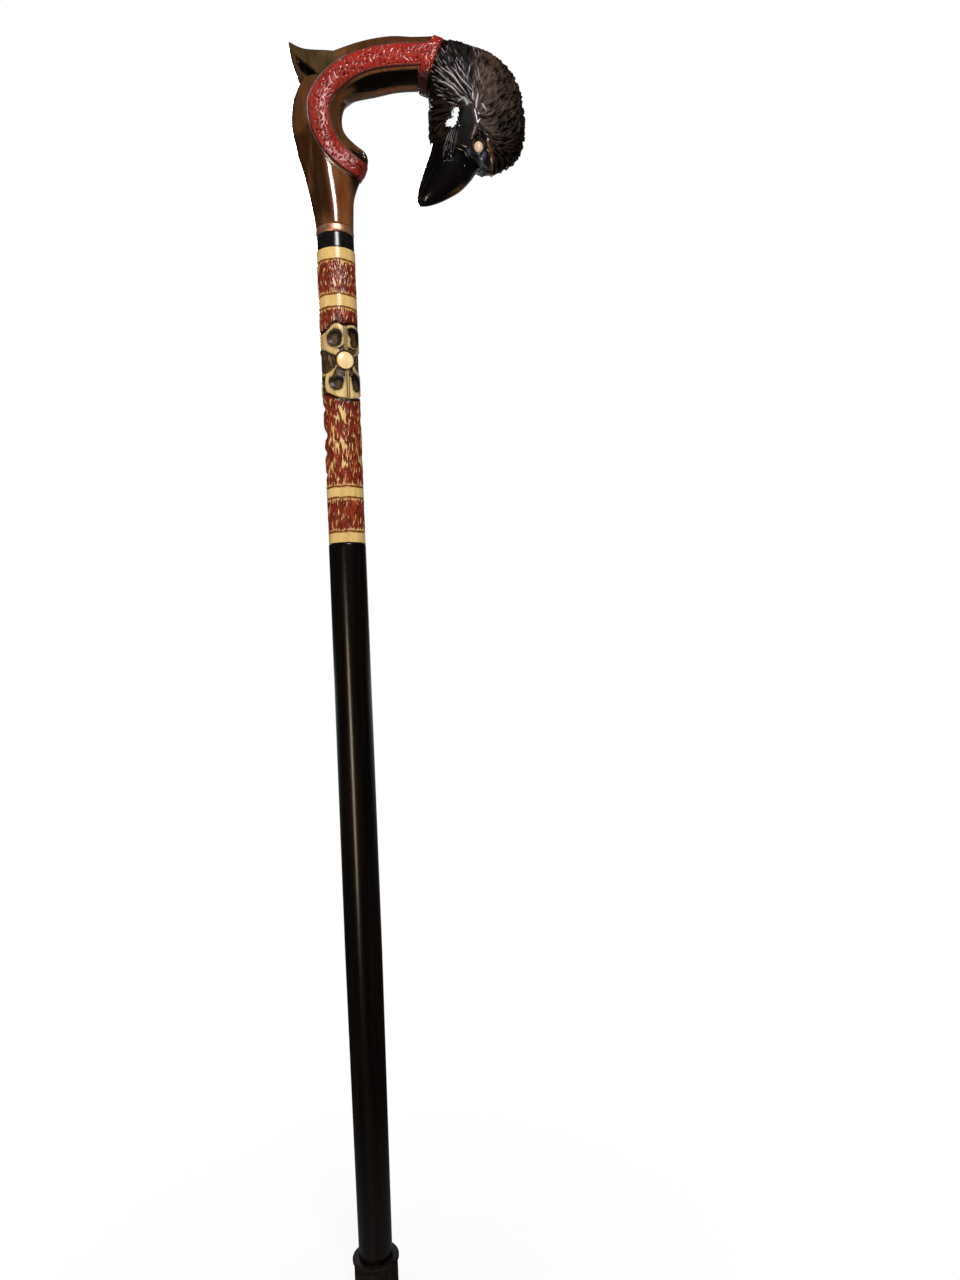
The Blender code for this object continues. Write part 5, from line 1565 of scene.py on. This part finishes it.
def make_rings():
    top = BLACK_RING_BOTTOM + BLACK_RING_HEIGHT
    bevel = 0.0003
    profile = filled(
        [
            (STUD_BORE, top),
            (BLACK_RING_RADIUS - bevel, top),
            (BLACK_RING_RADIUS, top - bevel),
            (BLACK_RING_RADIUS, BLACK_RING_BOTTOM + bevel),
            (BLACK_RING_RADIUS - bevel, BLACK_RING_BOTTOM),
            (STUD_BORE, BLACK_RING_BOTTOM),
        ],
        0.0006,
    )
    piece("gloss_ring", turned("gloss_ring", profile, 160, loop=True), ring_finish(), "black_ring", "black_ring")

    bottom, top = COPPER_RING_BOTTOM, COPPER_RING_BOTTOM + COPPER_RING_HEIGHT
    share = np.linspace(0.0, 1.0, 25)
    crown = COPPER_RING_RADIUS - 0.0004 * np.abs(2 * share - 1) ** 3
    outside = [(r, top - s * COPPER_RING_HEIGHT) for r, s in zip(crown, share)]
    profile = outside + filled([(COPPER_RING_INNER, bottom), (COPPER_RING_INNER, top)], 0.0008)
    piece("copper_band", turned("copper_band", profile, 160, loop=True), copper_finish(), "copper", "copper_ring")


def make_shaft():
    top = SHAFT_BOTTOM + SHAFT_LENGTH
    floor = top - INSERT_BORE_DEPTH
    profile = filled([(INSERT_BORE * 0.1, floor), (INSERT_BORE, floor), (INSERT_BORE, top)], 0.003)
    profile += filled(
        [
            (SHAFT_TOP_RADIUS - 0.0008, top),
            (SHAFT_TOP_RADIUS - 0.0002, top - 0.0003),
            (SHAFT_TOP_RADIUS, top - 0.0010),
            (SHAFT_TOP_RADIUS, SHAFT_BOTTOM + SHAFT_TAPER_LENGTH),
            (SHAFT_FOOT_RADIUS, SHAFT_BOTTOM + 0.0008),
            (SHAFT_FOOT_RADIUS - 0.0008, SHAFT_BOTTOM),
        ],
        0.0018,
    )
    profile += filled([(SHAFT_FOOT_RADIUS - 0.0008, SHAFT_BOTTOM), (0.0008, SHAFT_BOTTOM)], 0.004)[1:]
    piece("stained_shaft", turned("stained_shaft", profile, 120), shaft_finish(), "shaft_stain", "lower_shaft")


def make_foot():
    inner = SHAFT_FOOT_RADIUS + SEAT_GAP
    outer = inner + FOOT_WALL
    lip, base, edge = outer + FOOT_LIP, outer + FOOT_FLARE, 0.0010
    profile = [
        (inner, FOOT_HEIGHT),
        (lip - edge, FOOT_HEIGHT),
        (lip - edge * 0.3, FOOT_HEIGHT - edge * 0.3),
        (lip, FOOT_HEIGHT - edge),
        (lip, FOOT_HEIGHT - 0.0022),
        (outer, FOOT_HEIGHT - 0.0032),
        (outer, 0.0116),
        (base, 0.0090),
        (base, edge),
        (base - edge * 0.3, edge * 0.3),
        (base - edge, 0.0),
    ]
    land, groove, depth = 0.0055, 0.0022, 0.0012
    grooves = []
    while land + 2 * groove < base - edge:
        grooves[0:0] = [(land + groove, 0.0), (land + groove, depth), (land, depth), (land, 0.0)]
        land += 2 * groove
    profile += grooves + [(0.0008, 0.0)]
    profile = filled([(0.0008, FOOT_FLOOR), (inner, FOOT_FLOOR)] + profile, 0.0007)
    mesh = turned("rubber_ferrule", profile, 144)
    verts = points_of(mesh)
    radius = np.hypot(verts[:, 0], verts[:, 1])
    angle = np.arctan2(verts[:, 1], verts[:, 0])
    wobble = 0.12 * np.sin(3 * angle + 1.0) + 0.1 * np.sin(7 * angle + 2.0) + 0.06 * np.sin(13 * angle)
    near_lip = step_up(verts[:, 2], 0.034, 0.037) * (radius > outer - 0.0005)
    near_lip *= np.where(verts[:, 2] > FOOT_HEIGHT - 0.0025, 0.25, 0.5)
    verts[:, 2] -= wobble * 0.004 * near_lip
    move_points(mesh, verts)
    piece("rubber_ferrule", mesh, rubber_finish(), "foot_rubber", "rubber_foot")


def dress_inner_nodes():
    """Finishes of the pieces that the solids' own shapes are right for."""
    steel = metal_finish("turned_steel", (158, 158, 160), (128, 128, 132), 0.34)
    brass = metal_finish("turned_brass", (196, 158, 88), (166, 126, 62), 0.34)
    inner_nodes = (
        (steel, ("foot_disc", "joint_stud", "handle_stud")),
        (brass, ("lower_insert", "upper_insert")),
        (dowel_finish(), ("head_dowel",)),
    )
    for material, names in inner_nodes:
        for name in names:
            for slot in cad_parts[name].material_slots:
                slot.material = material


# Studio


def make_camera():
    data = bpy.data.cameras.new("camera")
    data.lens = LENS
    data.sensor_width = 36.0
    data.clip_start = 0.01
    camera = add_object("camera", data)
    c, s = math.cos(CAMERA_ROLL), math.sin(CAMERA_ROLL)
    turn = Matrix(((c, s, 0.0, 0.0), (0.0, 0.0, -1.0, 0.0), (-s, c, 0.0, 0.0), (0.0, 0.0, 0.0, 1.0)))
    camera.matrix_world = Matrix.Translation(CAMERA_PLACE) @ turn
    bpy.context.scene.camera = camera


def add_lamp(name, place, target, width, height, power, colour=(255, 255, 255), mirrored=True):
    data = bpy.data.lights.new(name, "AREA")
    data.shape = "RECTANGLE"
    data.size, data.size_y = width, height
    data.energy = power
    data.color = linear(colour)
    lamp = add_object(name, data)
    lamp.visible_glossy = mirrored
    aim = Vector(target) - Vector(place)
    lamp.matrix_world = Matrix.Translation(place) @ aim.to_track_quat("-Z", "Y").to_matrix().to_4x4()


def seen_levels(tree, along_y, near, far, lighting):
    """How bright a white background is to each kind of ray.

    The eye sees white, reflections see white behind the cane and a dark room before it, and all other rays get
    the lighting level.
    """
    path = new_node(tree, "LightPath").outputs
    direct = new_node(tree, "Math", (path["Is Camera Ray"], path["Is Transmission Ray"]), operation="MAXIMUM")
    behind = new_node(tree, "MapRange", (along_y, near, far, 0.02, 1.0))
    level = new_node(tree, "Mix", (direct.outputs[0], None, lighting, 1.0))
    level = new_node(tree, "Mix", (path["Is Glossy Ray"], None, level.outputs[0], behind.outputs[0]))
    seen = new_node(tree, "Math", (direct.outputs[0], path["Is Glossy Ray"]), operation="MAXIMUM")
    return level.outputs[0], seen.outputs[0]


def make_world():
    world = bpy.data.worlds.new("studio")
    world.use_nodes = True
    tree = world.node_tree
    tree.nodes.clear()
    bpy.context.scene.world = world
    place = new_node(tree, "TexCoord").outputs["Generated"]
    split = new_node(tree, "SeparateXYZ", (place,))
    level, _ = seen_levels(tree, split.outputs["Y"], 0.85, 1.0, WORLD_LIGHT)
    background = new_node(tree, "Background", ((1.0, 1.0, 1.0, 1.0), level))
    new_node(tree, "OutputWorld", (background.outputs[0],))


def make_floor():
    """A pale floor that keeps the cane's shadow near its foot and is white to the eye further off."""
    mesh = bpy.data.meshes.new("floor")
    corners = [(x * FLOOR_REACH, y * FLOOR_REACH, 0.0) for x, y in ((-1, -1), (1, -1), (1, 1), (-1, 1))]
    mesh.from_pydata(corners, [], [(0, 1, 2, 3)])
    floor = add_object("floor", mesh)
    material = bpy.data.materials.new("floor_white")
    material.use_nodes = True
    tree = material.node_tree
    tree.nodes.clear()
    place = new_node(tree, "TexCoord").outputs["Object"]
    split = new_node(tree, "SeparateXYZ", (place,))
    level, seen = seen_levels(tree, split.outputs["Y"], 0.5, 9.0, 0.0)
    length = new_node(tree, "VectorMath", (place,), operation="LENGTH")
    near = new_node(tree, "MapRange", (length.outputs["Value"], 0.0, 0.3, 0.8, 1.0))
    share = new_node(tree, "Math", (seen, near.outputs[0]), operation="MULTIPLY")
    diffuse = new_node(tree, "BsdfDiffuse", ((0.8, 0.8, 0.8, 1.0),))
    glow = new_node(tree, "Emission", ((1.0, 1.0, 1.0, 1.0), level))
    mixed = new_node(tree, "MixShader", (share.outputs[0], diffuse.outputs[0], glow.outputs[0]))
    new_node(tree, "OutputMaterial", (mixed.outputs[0],))
    mesh.materials.append(material)


def make_lamps():
    """The lamps by name: place, target, width, height, power and colour."""
    add_lamp("key", (0.33, -0.95, 1.36), (0.03, 0.0, 0.80), 0.29, 0.44, 11.5)
    add_lamp("low", (-0.28, -1.05, 0.25), (0.0, 0.0, 0.35), 0.12, 0.5, 3.4, (255, 226, 196))
    add_lamp("fill", (-0.9, -0.6, 1.2), (0.03, 0.0, 0.6), 0.9, 0.9, 3.5, mirrored=False)
    add_lamp("back", (-0.35, 1.1, 1.3), (0.03, 0.0, 0.6), 0.4, 0.6, 14.0)


def main():
    make_camera()
    make_world()
    make_floor()
    make_lamps()
    bpy.context.scene.view_settings.view_transform = "Standard"
    red = red_finish()
    make_handle()
    make_strips(red)
    make_collar(red)
    make_bird()
    make_eyes()
    make_carved()
    make_buttons()
    make_rings()
    make_shaft()
    make_foot()
    dress_inner_nodes()


main()
